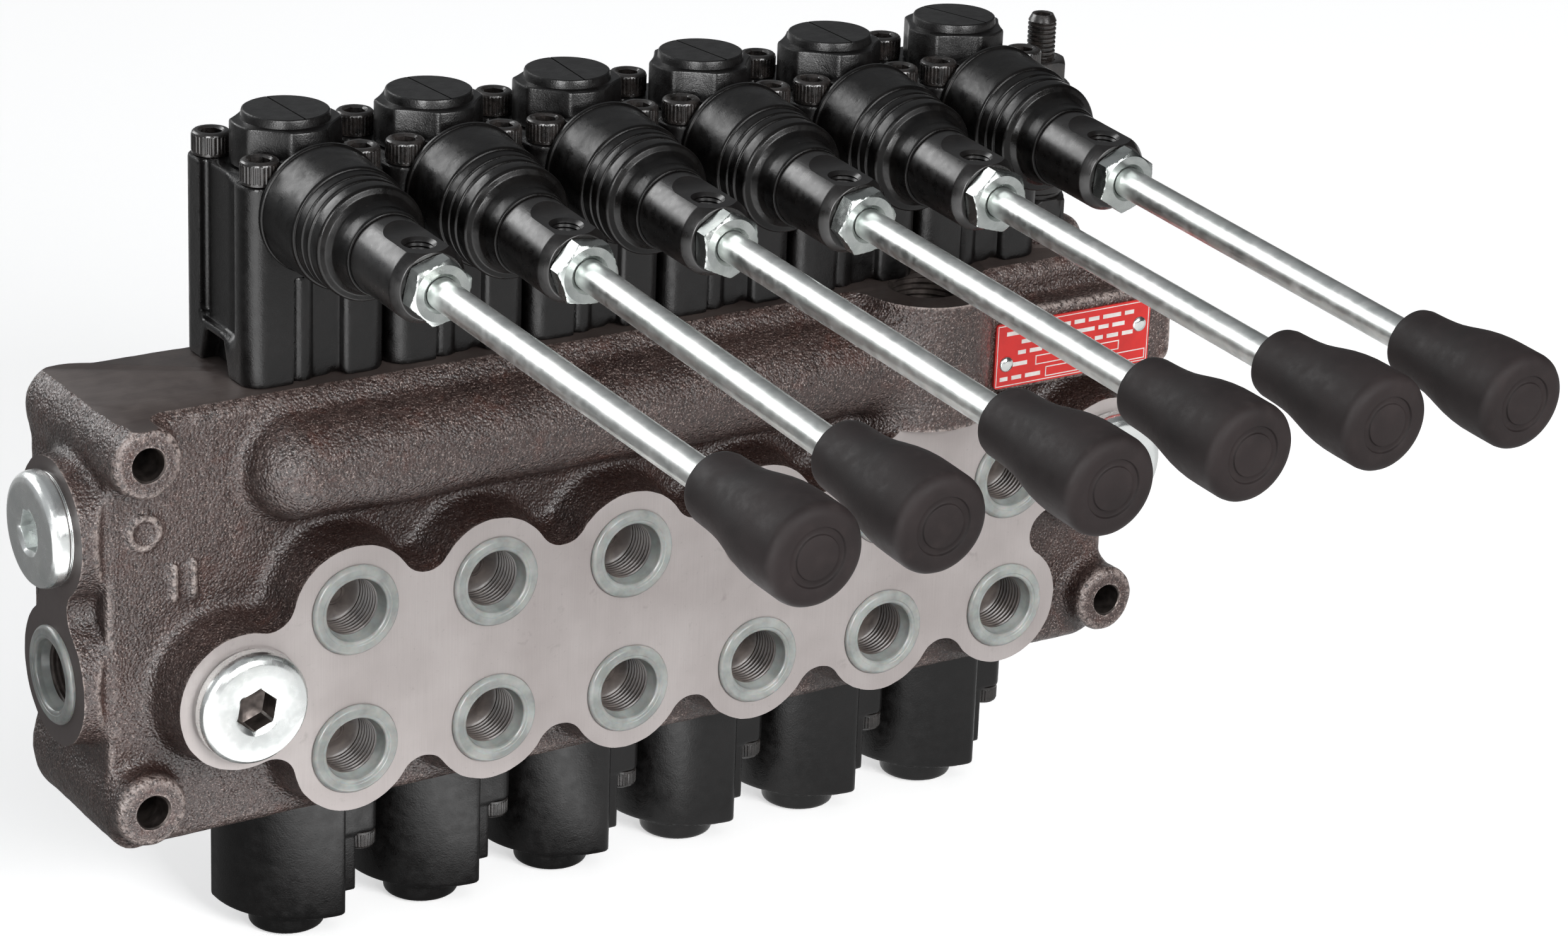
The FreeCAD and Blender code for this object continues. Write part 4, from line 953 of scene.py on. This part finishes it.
def screws():
    head = cap_screw_shape(2.95, 40.0, 5.0, 6.0)
    spots = [(x + dx, y) for x in STATIONS for dx in (-SCREW_X, SCREW_X) for y in SCREW_YS]
    rng = np.random.default_rng(5)
    shapes = []
    for x, y in spots:
        verts, faces = spun(head, rng.uniform(0, math.pi / 3))
        shapes.append((verts + np.array((x, y, HOUSE_TOP)), faces))
    piece("housing_screw_set", joined(shapes), [SCREW], "valve", ["housing_screws"], 25.0)
    head = cap_screw_shape(2.45, 20.0, 4.2, 5.0)
    shapes = [placed(head, (x + dx, y, LUG_BOTTOM), (0, 0, -1)) for x in STATIONS for dx, y in LUG_SCREWS]
    piece("cap_screw_set", joined(shapes), [SCREW], "valve", ["spring_cap_screws"], 25.0)


# ---- lever housings and their caps --------------------------------------------------
def housing_field():
    f = Field((-22, 9.5, 71.5), (22, 59.5, 135.5), 0.5)
    low, high = (-22, 9.5, 71.5), (22, 59.5, 135.5)
    f.add(block_d(-19.5, 19.5, HOUSE_FRONT, HOUSE_BACK, TOP_Z, HOUSE_TOP, 5.6, 0.7), low, high)
    for side in (-1, 1):
        f.cut(lambda x, y, z: extruded(rounded_rect(y - 38.3, z - 109.0, 7.9, 24.5, 1.2), 17.5 - side * x, 0.6),
              low, high, lambda x, y, z: 0.6 + 4.4 * np.clip((36.0 - y) / 5.0, 0, 1))

        def notch(x, y, z):
            flat = np.maximum(np.abs(y - 38.6) - 4.6 - np.maximum(82.2 - z, 0) * 0.32, z - 82.2)
            return extruded(flat, 15.2 - side * x, 0.5)
        f.cut(notch, low, high, 1.0)
        f.cut(lambda x, y, z: extruded(np.hypot(x - side * 18.0, y - 45.9) - 1.35, slab(z, 86.0, 130.0), 0.3),
              low, high, 0.5)
    f.cut(lambda x, y, z: extruded(rounded_rect(x + 0.2, z - 86.0, 6.8, 15.2, 0.6), y - 21.7, 0.4), low, high,
          lambda x, y, z: 0.5 + 2.2 * np.clip((x - 3.0) / 2.0, 0, 1))
    f.add(lambda x, y, z: extruded(np.hypot(x + 3.5, y - 23.7) - 3.35, slab(z, TOP_Z, 100.9), 0.3),
          (-8, 18, 72), (1, 28, 104), 0.4)
    f.add(through_d(0, PIVOT_Z, 13.0, 12.0, 24.0, 0.5), (-15, 9.5, 104), (15, 30, 133), 1.2)

    def hood(x, y, z):
        roof = 131.9 - np.maximum(np.abs(x) - 3.5, 0) * 0.45 - np.maximum(20.5 - y, 0) * 0.25
        return extruded(np.maximum(np.abs(x) - 8.3, 18.6 - y), slab(z, 118.0, roof), 0.7)
    f.add(lambda x, y, z: np.maximum(hood(x, y, z), y - 26.5), (-12, 16, 116), (12, 30, 135), 0.8)
    f.cut(lambda x, y, z: extruded(np.hypot(x, y - SPOOL_Y) - 14.3, HOUSE_TOP - z, 0.3),
          (-16, 22, 124), (16, 55, 135.5), 0.4)
    f.add(upright_d(0, SPOOL_Y, 11.5, 120.0, 132.0, 0.5), (-14, 24, 118), (14, 52, 134), 0.5)
    for dx in (-SCREW_X, SCREW_X):
        for y0 in SCREW_YS:
            f.add(upright_d(dx, y0, 5.65, 118.0, HOUSE_TOP, 0.35), (dx - 7, y0 - 7, 117), (dx + 7, y0 + 7, 127))
            f.cut(lambda x, y, z: extruded(np.hypot(x - dx, y - y0) - 5.25, HOUSE_TOP - z, 0.2),
                  (dx - 7, y0 - 7, 124), (dx + 7, y0 + 7, 135.5), 0.2)
    # hollows for the spool head and lever
    f.cut(upright_d(0, SPOOL_Y, 10.0, 60.0, HOUSE_TOP, 0.2), low, high)
    f.cut(upright_d(0, SPOOL_Y, 9.7, 120.0, 140.0, 0.2), low, high)
    f.cut(lambda x, y, z: np.maximum(np.hypot(x, z - PIVOT_Z) - 9.6, y - 22.2), low, high)
    f.cut(lambda x, y, z: np.maximum(np.maximum(np.abs(x) - 6.5, np.abs(z - 117.7) - 7.6), slab(y, 21.0, 38.0)),
          low, high)
    return f


def housing_cap_shape(seg=144):
    angles = 2 * math.pi * np.arange(seg) / seg
    rim = np.full(seg, 14.0)
    for k in range(4):
        turn = np.abs((angles - math.radians(45 + 90 * k) + math.pi) % (2 * math.pi) - math.pi)
        distance, r = 52.4, 40.0
        inside = turn < math.asin(r / distance) - 0.02
        reach = distance * np.cos(turn[inside]) - np.sqrt(r * r - (distance * np.sin(turn[inside])) ** 2)
        rim[inside] = np.minimum(rim[inside], reach)
    base = HOUSE_TOP + 0.1
    rings = [(base, 11.6), (base, rim - 0.35), (base + 0.35, rim), (136.0, rim), (136.4, rim - 0.15),
             (136.6, rim - 0.5), (136.6, 11.5), (136.75, 11.2), (138.4, 11.05), (138.8, 10.9), (139.0, 10.55),
             (139.0, 0)]
    inner = [(134.8, 0), (134.8, 11.2), (134.4, 11.6)]
    return turned(rings + inner, seg, loop=True)


def housing_pieces():
    shell = make_mesh("lever_housing", housing_field().surface(), [ENAMEL], 30.0)
    cap = carve(housing_cap_shape(), [ENAMEL], [(box_shape(-0.22, 0.22, -10.8, 10.8, 138.55, 141), ENAMEL)],
                "housing_cap", 28.0)
    for i, x in enumerate(STATIONS):
        obj = make_object("lever_housing_shell_%d" % (i + 1), shell, Matrix.Translation((x * MM, 0, 0)))
        settle(obj, "valve", ["lever_housing_%d" % (i + 1)])
        turn = Matrix.Translation((x * MM, SPOOL_Y * MM, 0)) @ Matrix.Rotation(CAP_TURNS[i], 4, "Z")
        obj = make_object("housing_cap_%d" % (i + 1), cap, turn)
        settle(obj, "valve", ["housing_caps"] if i == 0 else ())


def spring_cap_field():
    f = Field((-18, 21, -86), (26, 60, -39.5), 0.5)
    low, high = (-18, 21, -86), (26, 60, -39.5)

    def box(x, y, z):
        flat = rounded_rect(x + 2.65, y - 37.6, 13.15, 14.4, 2.0)
        curve = np.hypot(np.minimum(x - 8.7, 0.0), np.minimum(y - 47.7, 0.0)) - 24.5
        return extruded(np.maximum(flat, curve), slab(z, CAP_BOTTOM, BOTTOM_Z), 0.8)
    f.add(box, low, high)
    f.add(upright_d(0, SPOOL_Y, 10.0, NOSE_BOTTOM, -76.0, 1.2), (-13, 24, -86), (13, 52, -74), 0.3)
    f.add(block_d(7.5, 23.3, 29.8, 38.2, LUG_BOTTOM, BOTTOM_Z, 3.0, 0.7), low, high, 0.8)
    f.add(block_d(9.0, 16.9, 30.0, 33.0, -76.0, -58.0, 0.5, 0.5), low, high, 0.6)
    f.add(block_d(-13.5, -2.5, 48.0, 57.3, LUG_BOTTOM, BOTTOM_Z, 3.0, 0.7), low, high, 0.8)
    for dx, y in LUG_SCREWS:
        f.cut(upright_d(dx, y, 4.6, -90.0, LUG_BOTTOM, 0.2), low, high)
    f.cut(upright_d(0, SPOOL_Y, 9.2, -80.5, -30.0, 0.2), low, high)
    return f


def spring_caps():
    mesh = make_mesh("spring_cap", spring_cap_field().surface(), [ENAMEL], 30.0)
    for i, x in enumerate(STATIONS):
        obj = make_object("spring_cap_%d" % (i + 1), mesh, Matrix.Translation((x * MM, 0, 0)))
        settle(obj, "valve", ["spring_caps"] if i == 0 else ())


# ---- levers -------------------------------------------------------------------------
def holder_mesh():
    """Shank and holder in lever axes: pivot at zero, Z outward, Y up."""
    barrel = [(5.0, 0), (5.0, 5.0), (27.0, 5.0), (28.0, 10.2), (52.5, 10.2), (HOLDER_END, 8.5), (HOLDER_END, 0)]
    solid = turned(soften(barrel, 0.35))
    run_in, flat = 9.5, 8.5
    scoop = [(42.0 - run_in * math.sin(a), flat + run_in * (1 - math.cos(a))) for a in np.linspace(0.8, 0, 10)]
    outline = scoop + [(58, flat), (58, 16), (scoop[0][0], 16)]
    verts, faces = prism(outline, -20, 20)
    cutter = outward(np.column_stack([verts[:, 2], verts[:, 1], verts[:, 0]]), faces)
    threads = [(7.6 - k * 0.55, 3.75 if k % 2 else 3.4) for k in range(10)]
    hole = placed(turned([(14, 0), (14, 4.4), (8.6, 4.4), (7.9, 3.6)] + threads + [(0.5, 3.4), (0.5, 0)], 48),
                  (0, 0, 48.0), (0, 1, 0))
    bore = placed(turned([(37.5, 0), (37.5, 4.05), (54.6, 4.05), (57.0, 6.5), (57.0, 0)], 48),
                  (0, 0, 0), (0, 0, 1))
    cuts = [(cut, BLACK_STEEL) for cut in (cutter, hole, bore)]
    return carve(solid, [BLACK_STEEL], cuts, "lever_holder", 30.0)


def boot_shape():
    """Rubber boot along the lever, outside then inside."""
    outer = soften([(-2.3, 14.6), (-2.3, 16.9), (-1.2, 16.9), (-0.9, 16.35), (13.6, 15.95), (14.1, 15.6),
                    (14.2, 15.2), (16.9, 15.05), (17.2, 14.5), (17.6, 14.5), (17.8, 15.0), (20.0, 14.9),
                    (20.4, 14.2), (20.8, 14.2), (21.0, 14.8), (24.4, 14.8), (25.0, 14.3), (25.4, 12.9),
                    (26.8, 11.7), (29.0, 11.1), (32.3, 10.95), (32.9, 10.75), (33.0, 10.3)], 0.3)
    inner = [(30.0, 10.3), (26.6, 10.35), (24.2, 12.4), (20.6, 12.6), (17.6, 12.8), (13.8, 13.6), (4.0, 14.2),
             (-2.3, 14.5)]
    profile = []
    for a, b in zip(outer, outer[1:]):
        run = max(1, int(abs(b[0] - a[0]) / 1.2))
        profile += [tuple(np.array(a) + (np.array(b) - np.array(a)) * t / run) for t in range(run)]
    profile.append(outer[-1])
    return turned(profile + inner, 128, loop=True)


def grip_shape():
    profile = [(0, 0), (0, 4.1), (0, 6.9), (0.25, 7.7), (0.9, 8.3), (2.2, 8.6)]
    swell = [(4, 8.65), (7, 8.75), (10, 8.95), (13, 9.3), (16, 9.9), (19, 10.6), (22, 11.25), (25, 11.7),
             (28, 11.95), (31, 12.0), (38.2, 12.0)]
    rim = [(39.1, 11.85), (39.9, 11.4), (40.5, 10.7), (40.85, 9.9), (41.0, 9.0), (41.0, 7.3), (40.9, 7.0),
           (40.45, 6.75), (40.35, 6.5), (40.35, 5.6), (40.5, 5.3), (40.9, 5.1), (41.0, 4.8), (41.0, 0)]
    return turned(profile + swell + rim, 112)


def levers():
    holder, nut = holder_mesh(), make_mesh("lever_nut", hex_nut_shape(15.0, 5.2, 4.1), [NUT_ZINC], 25.0)
    grip = make_mesh("lever_grip", grip_shape(), [GRIP], 35.0)
    for i, x in enumerate(STATIONS):
        body, n = "lever_%d" % (i + 1), i + 1
        droop, reach = math.radians(LEVER_DROOP[i]), LEVER_REACH[i]
        out = Vector((0, -math.cos(droop), -math.sin(droop)))
        local = Matrix.Translation(Vector((x, PIVOT_Y, PIVOT_Z)) * MM) @ turn_to(out).to_4x4()
        settle(make_object("lever_socket_%d" % n, holder, local), body, ["lever_holder_%d" % n])
        at_nut = local @ Matrix.Translation((0, 0, HOLDER_END * MM)) @ Matrix.Rotation(NUT_TURNS[i], 4, "Z")
        settle(make_object("lever_jam_nut_%d" % n, nut, at_nut), body, ["lever_nut_%d" % n])
        rod = soften([(38.2, 0), (38.2, 3.5), (38.9, 3.97), (reach - 9.0, 3.97), (reach - 8.2, 3.4),
                      (reach - 8.2, 0)], 0.2)
        mesh = make_mesh("rod_%d" % n, turned(rod, 64), [SATIN])
        settle(make_object("lever_stem_%d" % n, mesh, local), body, ["lever_rod_%d" % n])
        at_grip = local @ Matrix.Translation((0, 0, (reach - 41.0) * MM))
        settle(make_object("lever_handle_%d" % n, grip, at_grip), body, ["lever_grip_%d" % n])
        mesh = make_mesh("boot_mesh_%d" % n, boot_shape(), [RUBBER], 28.0)
        cover = make_object("lever_boot_%d" % n, mesh, local)
        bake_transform(cover)
        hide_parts("boot_%d" % n)


def inner_parts():
    """The inner parts keep their own shapes; seals are rubber and the rest is worked steel."""
    for name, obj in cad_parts.items():
        if name.startswith(("spool_", "centring", "spring_seats", "pivot")):
            paint = RUBBER if name == "spool_seals" else STEEL
            obj.data.materials.clear()
            obj.data.materials.append(paint)


body_fittings()
nameplate()
relief_valve()
screws()
housing_pieces()
spring_caps()
levers()
inner_parts()


# ---- stage, light and camera --------------------------------------------------------
# brightness of the floor in reflections: everywhere, then extra by direction (direction, from, to, strength)
FLOOR_DIM = 0.22
FLOOR_GLOW = (((0.30, -0.95, 0.0), 0.1, 0.75, 0.68), ((-0.83, -0.55, 0.0), 0.84, 0.98, 3.2),
              ((0.6, 0.8, 0.0), 0.3, 0.9, 0.6))


def studio_floor():
    """Pale floor: near white to the camera, and a soft light source in glossy reflections."""
    floor = make_object("floor", make_mesh("floor", box_shape(-6000, 6000, -6000, 6000, -110, -84.4), []))
    material = bpy.data.materials.new("floor_paint")
    material.use_nodes = True
    tree = material.node_tree
    tree.nodes.clear()
    rays = tree.nodes.new("ShaderNodeLightPath")

    def shader(kind, colour, strength=None):
        made = tree.nodes.new(kind)
        made.inputs["Color"].default_value = (*colour, 1)
        if strength is not None:
            made.inputs["Strength"].default_value = strength
        return made.outputs[0]

    def either(share, first, second):
        made = tree.nodes.new("ShaderNodeMixShader")
        for socket, source in zip(made.inputs, (share, first, second)):
            tree.links.new(source, socket)
        return made.outputs[0]
    seen = tree.nodes.new("ShaderNodeAddShader")
    tree.links.new(shader("ShaderNodeBsdfDiffuse", (0.9, 0.9, 0.9)), seen.inputs[0])
    tree.links.new(shader("ShaderNodeEmission", (1, 1, 1), 0.55), seen.inputs[1])
    place = tree.nodes.new("ShaderNodeNewGeometry").outputs["Position"]
    flat = tree.nodes.new("ShaderNodeVectorMath")
    flat.operation = "MULTIPLY"
    flat.inputs[1].default_value = (1, 1, 0)
    tree.links.new(place, flat.inputs[0])
    way = tree.nodes.new("ShaderNodeVectorMath")
    way.operation = "NORMALIZE"
    tree.links.new(flat.outputs[0], way.inputs[0])
    glow = FLOOR_DIM
    for direction, low, high, strength in FLOOR_GLOW:
        dot = tree.nodes.new("ShaderNodeVectorMath")
        dot.operation = "DOT_PRODUCT"
        dot.inputs[1].default_value = direction
        tree.links.new(way.outputs[0], dot.inputs[0])
        part = tree.nodes.new("ShaderNodeMapRange")
        part.interpolation_type = "SMOOTHSTEP"
        for key, number in (("From Min", low), ("From Max", high), ("To Min", 0.0), ("To Max", strength)):
            part.inputs[key].default_value = number
        tree.links.new(dot.outputs["Value"], part.inputs["Value"])
        total = tree.nodes.new("ShaderNodeMath")
        if isinstance(glow, float):
            total.inputs[1].default_value = glow
        else:
            tree.links.new(glow, total.inputs[1])
        tree.links.new(part.outputs[0], total.inputs[0])
        glow = total.outputs[0]
    reflected = tree.nodes.new("ShaderNodeEmission")
    tree.links.new(glow, reflected.inputs["Strength"])
    other = either(rays.outputs["Is Glossy Ray"], shader("ShaderNodeBsdfDiffuse", (0.33, 0.32, 0.32)),
                   reflected.outputs[0])
    surface = either(rays.outputs["Is Camera Ray"], other, seen.outputs[0])
    tree.links.new(surface, tree.nodes.new("ShaderNodeOutputMaterial").inputs[0])
    floor.data.materials.append(material)


def studio_world():
    """Dim surround that is brighter towards the back left."""
    world = bpy.data.worlds.new("studio")
    bpy.context.scene.world = world
    world.use_nodes = True
    tree = world.node_tree
    ground = tree.nodes["Background"]
    ground.inputs["Color"].default_value = (0.96, 0.98, 1.0, 1)
    way = tree.nodes.new("ShaderNodeTexCoord")
    dot = tree.nodes.new("ShaderNodeVectorMath")
    dot.operation = "DOT_PRODUCT"
    dot.inputs[1].default_value = Vector((-0.80, 0.35, 0.48)).normalized()
    tree.links.new(way.outputs["Generated"], dot.inputs[0])
    level = tree.nodes.new("ShaderNodeMapRange")
    for key, number in (("From Min", -0.4), ("From Max", 0.7), ("To Min", 0.06), ("To Max", 0.46)):
        level.inputs[key].default_value = number
    tree.links.new(dot.outputs["Value"], level.inputs["Value"])
    tree.links.new(level.outputs["Result"], ground.inputs["Strength"])


def studio():
    studio_floor()
    studio_world()
    target = Vector((0.0, 0.0, 0.03))
    lamps = (("highlight", (-1.2, -1.15, 0.62), (0.4, 0.9), 26, "diffuse"),
             ("key", (0.15, -1.65, 0.72), (0.9, 0.6), 26, None),
             ("fill", (-0.2, -1.0, 1.5), (1.0, 1.0), 6, "glossy"),
             ("back_left", (-0.9, 1.4, 1.0), (1.6, 0.8), 26, "diffuse"))
    for name, place, size, power, unseen in lamps:
        light = bpy.data.lights.new(name, "AREA")
        light.shape = "RECTANGLE"
        light.size, light.size_y = size
        light.energy = power
        lamp = bpy.data.objects.new(name, light)
        bpy.context.scene.collection.objects.link(lamp)
        lamp.location = place
        lamp.rotation_euler = (target - Vector(place)).to_track_quat("-Z", "Y").to_euler()
        lamp.visible_diffuse, lamp.visible_glossy = unseen != "diffuse", unseen != "glossy"
    bpy.context.scene.view_settings.view_transform = "Standard"


def camera():
    az, el, roll = (math.radians(a) for a in (33.5473, 21.2063, 2.4018))
    forward = Vector((math.sin(az) * math.cos(el), math.cos(az) * math.cos(el), -math.sin(el)))
    right = Vector((math.cos(az), -math.sin(az), 0.0))
    up = right.cross(forward)
    x = math.cos(roll) * right + math.sin(roll) * up
    y = -math.sin(roll) * right + math.cos(roll) * up
    data = bpy.data.cameras.new("camera")
    data.sensor_width = 36.0
    data.lens = 7294.25 / 2485 * 36.0
    data.shift_x, data.shift_y = -0.00755, -0.00544
    data.clip_end = 30.0
    view = bpy.data.objects.new("camera", data)
    bpy.context.scene.collection.objects.link(view)
    turn = Matrix((x, y, -forward)).transposed().to_4x4()
    view.matrix_world = Matrix.Translation(Vector((-592.5, -938.5, 473.1)) * MM) @ turn
    bpy.context.scene.camera = view


studio()
camera()
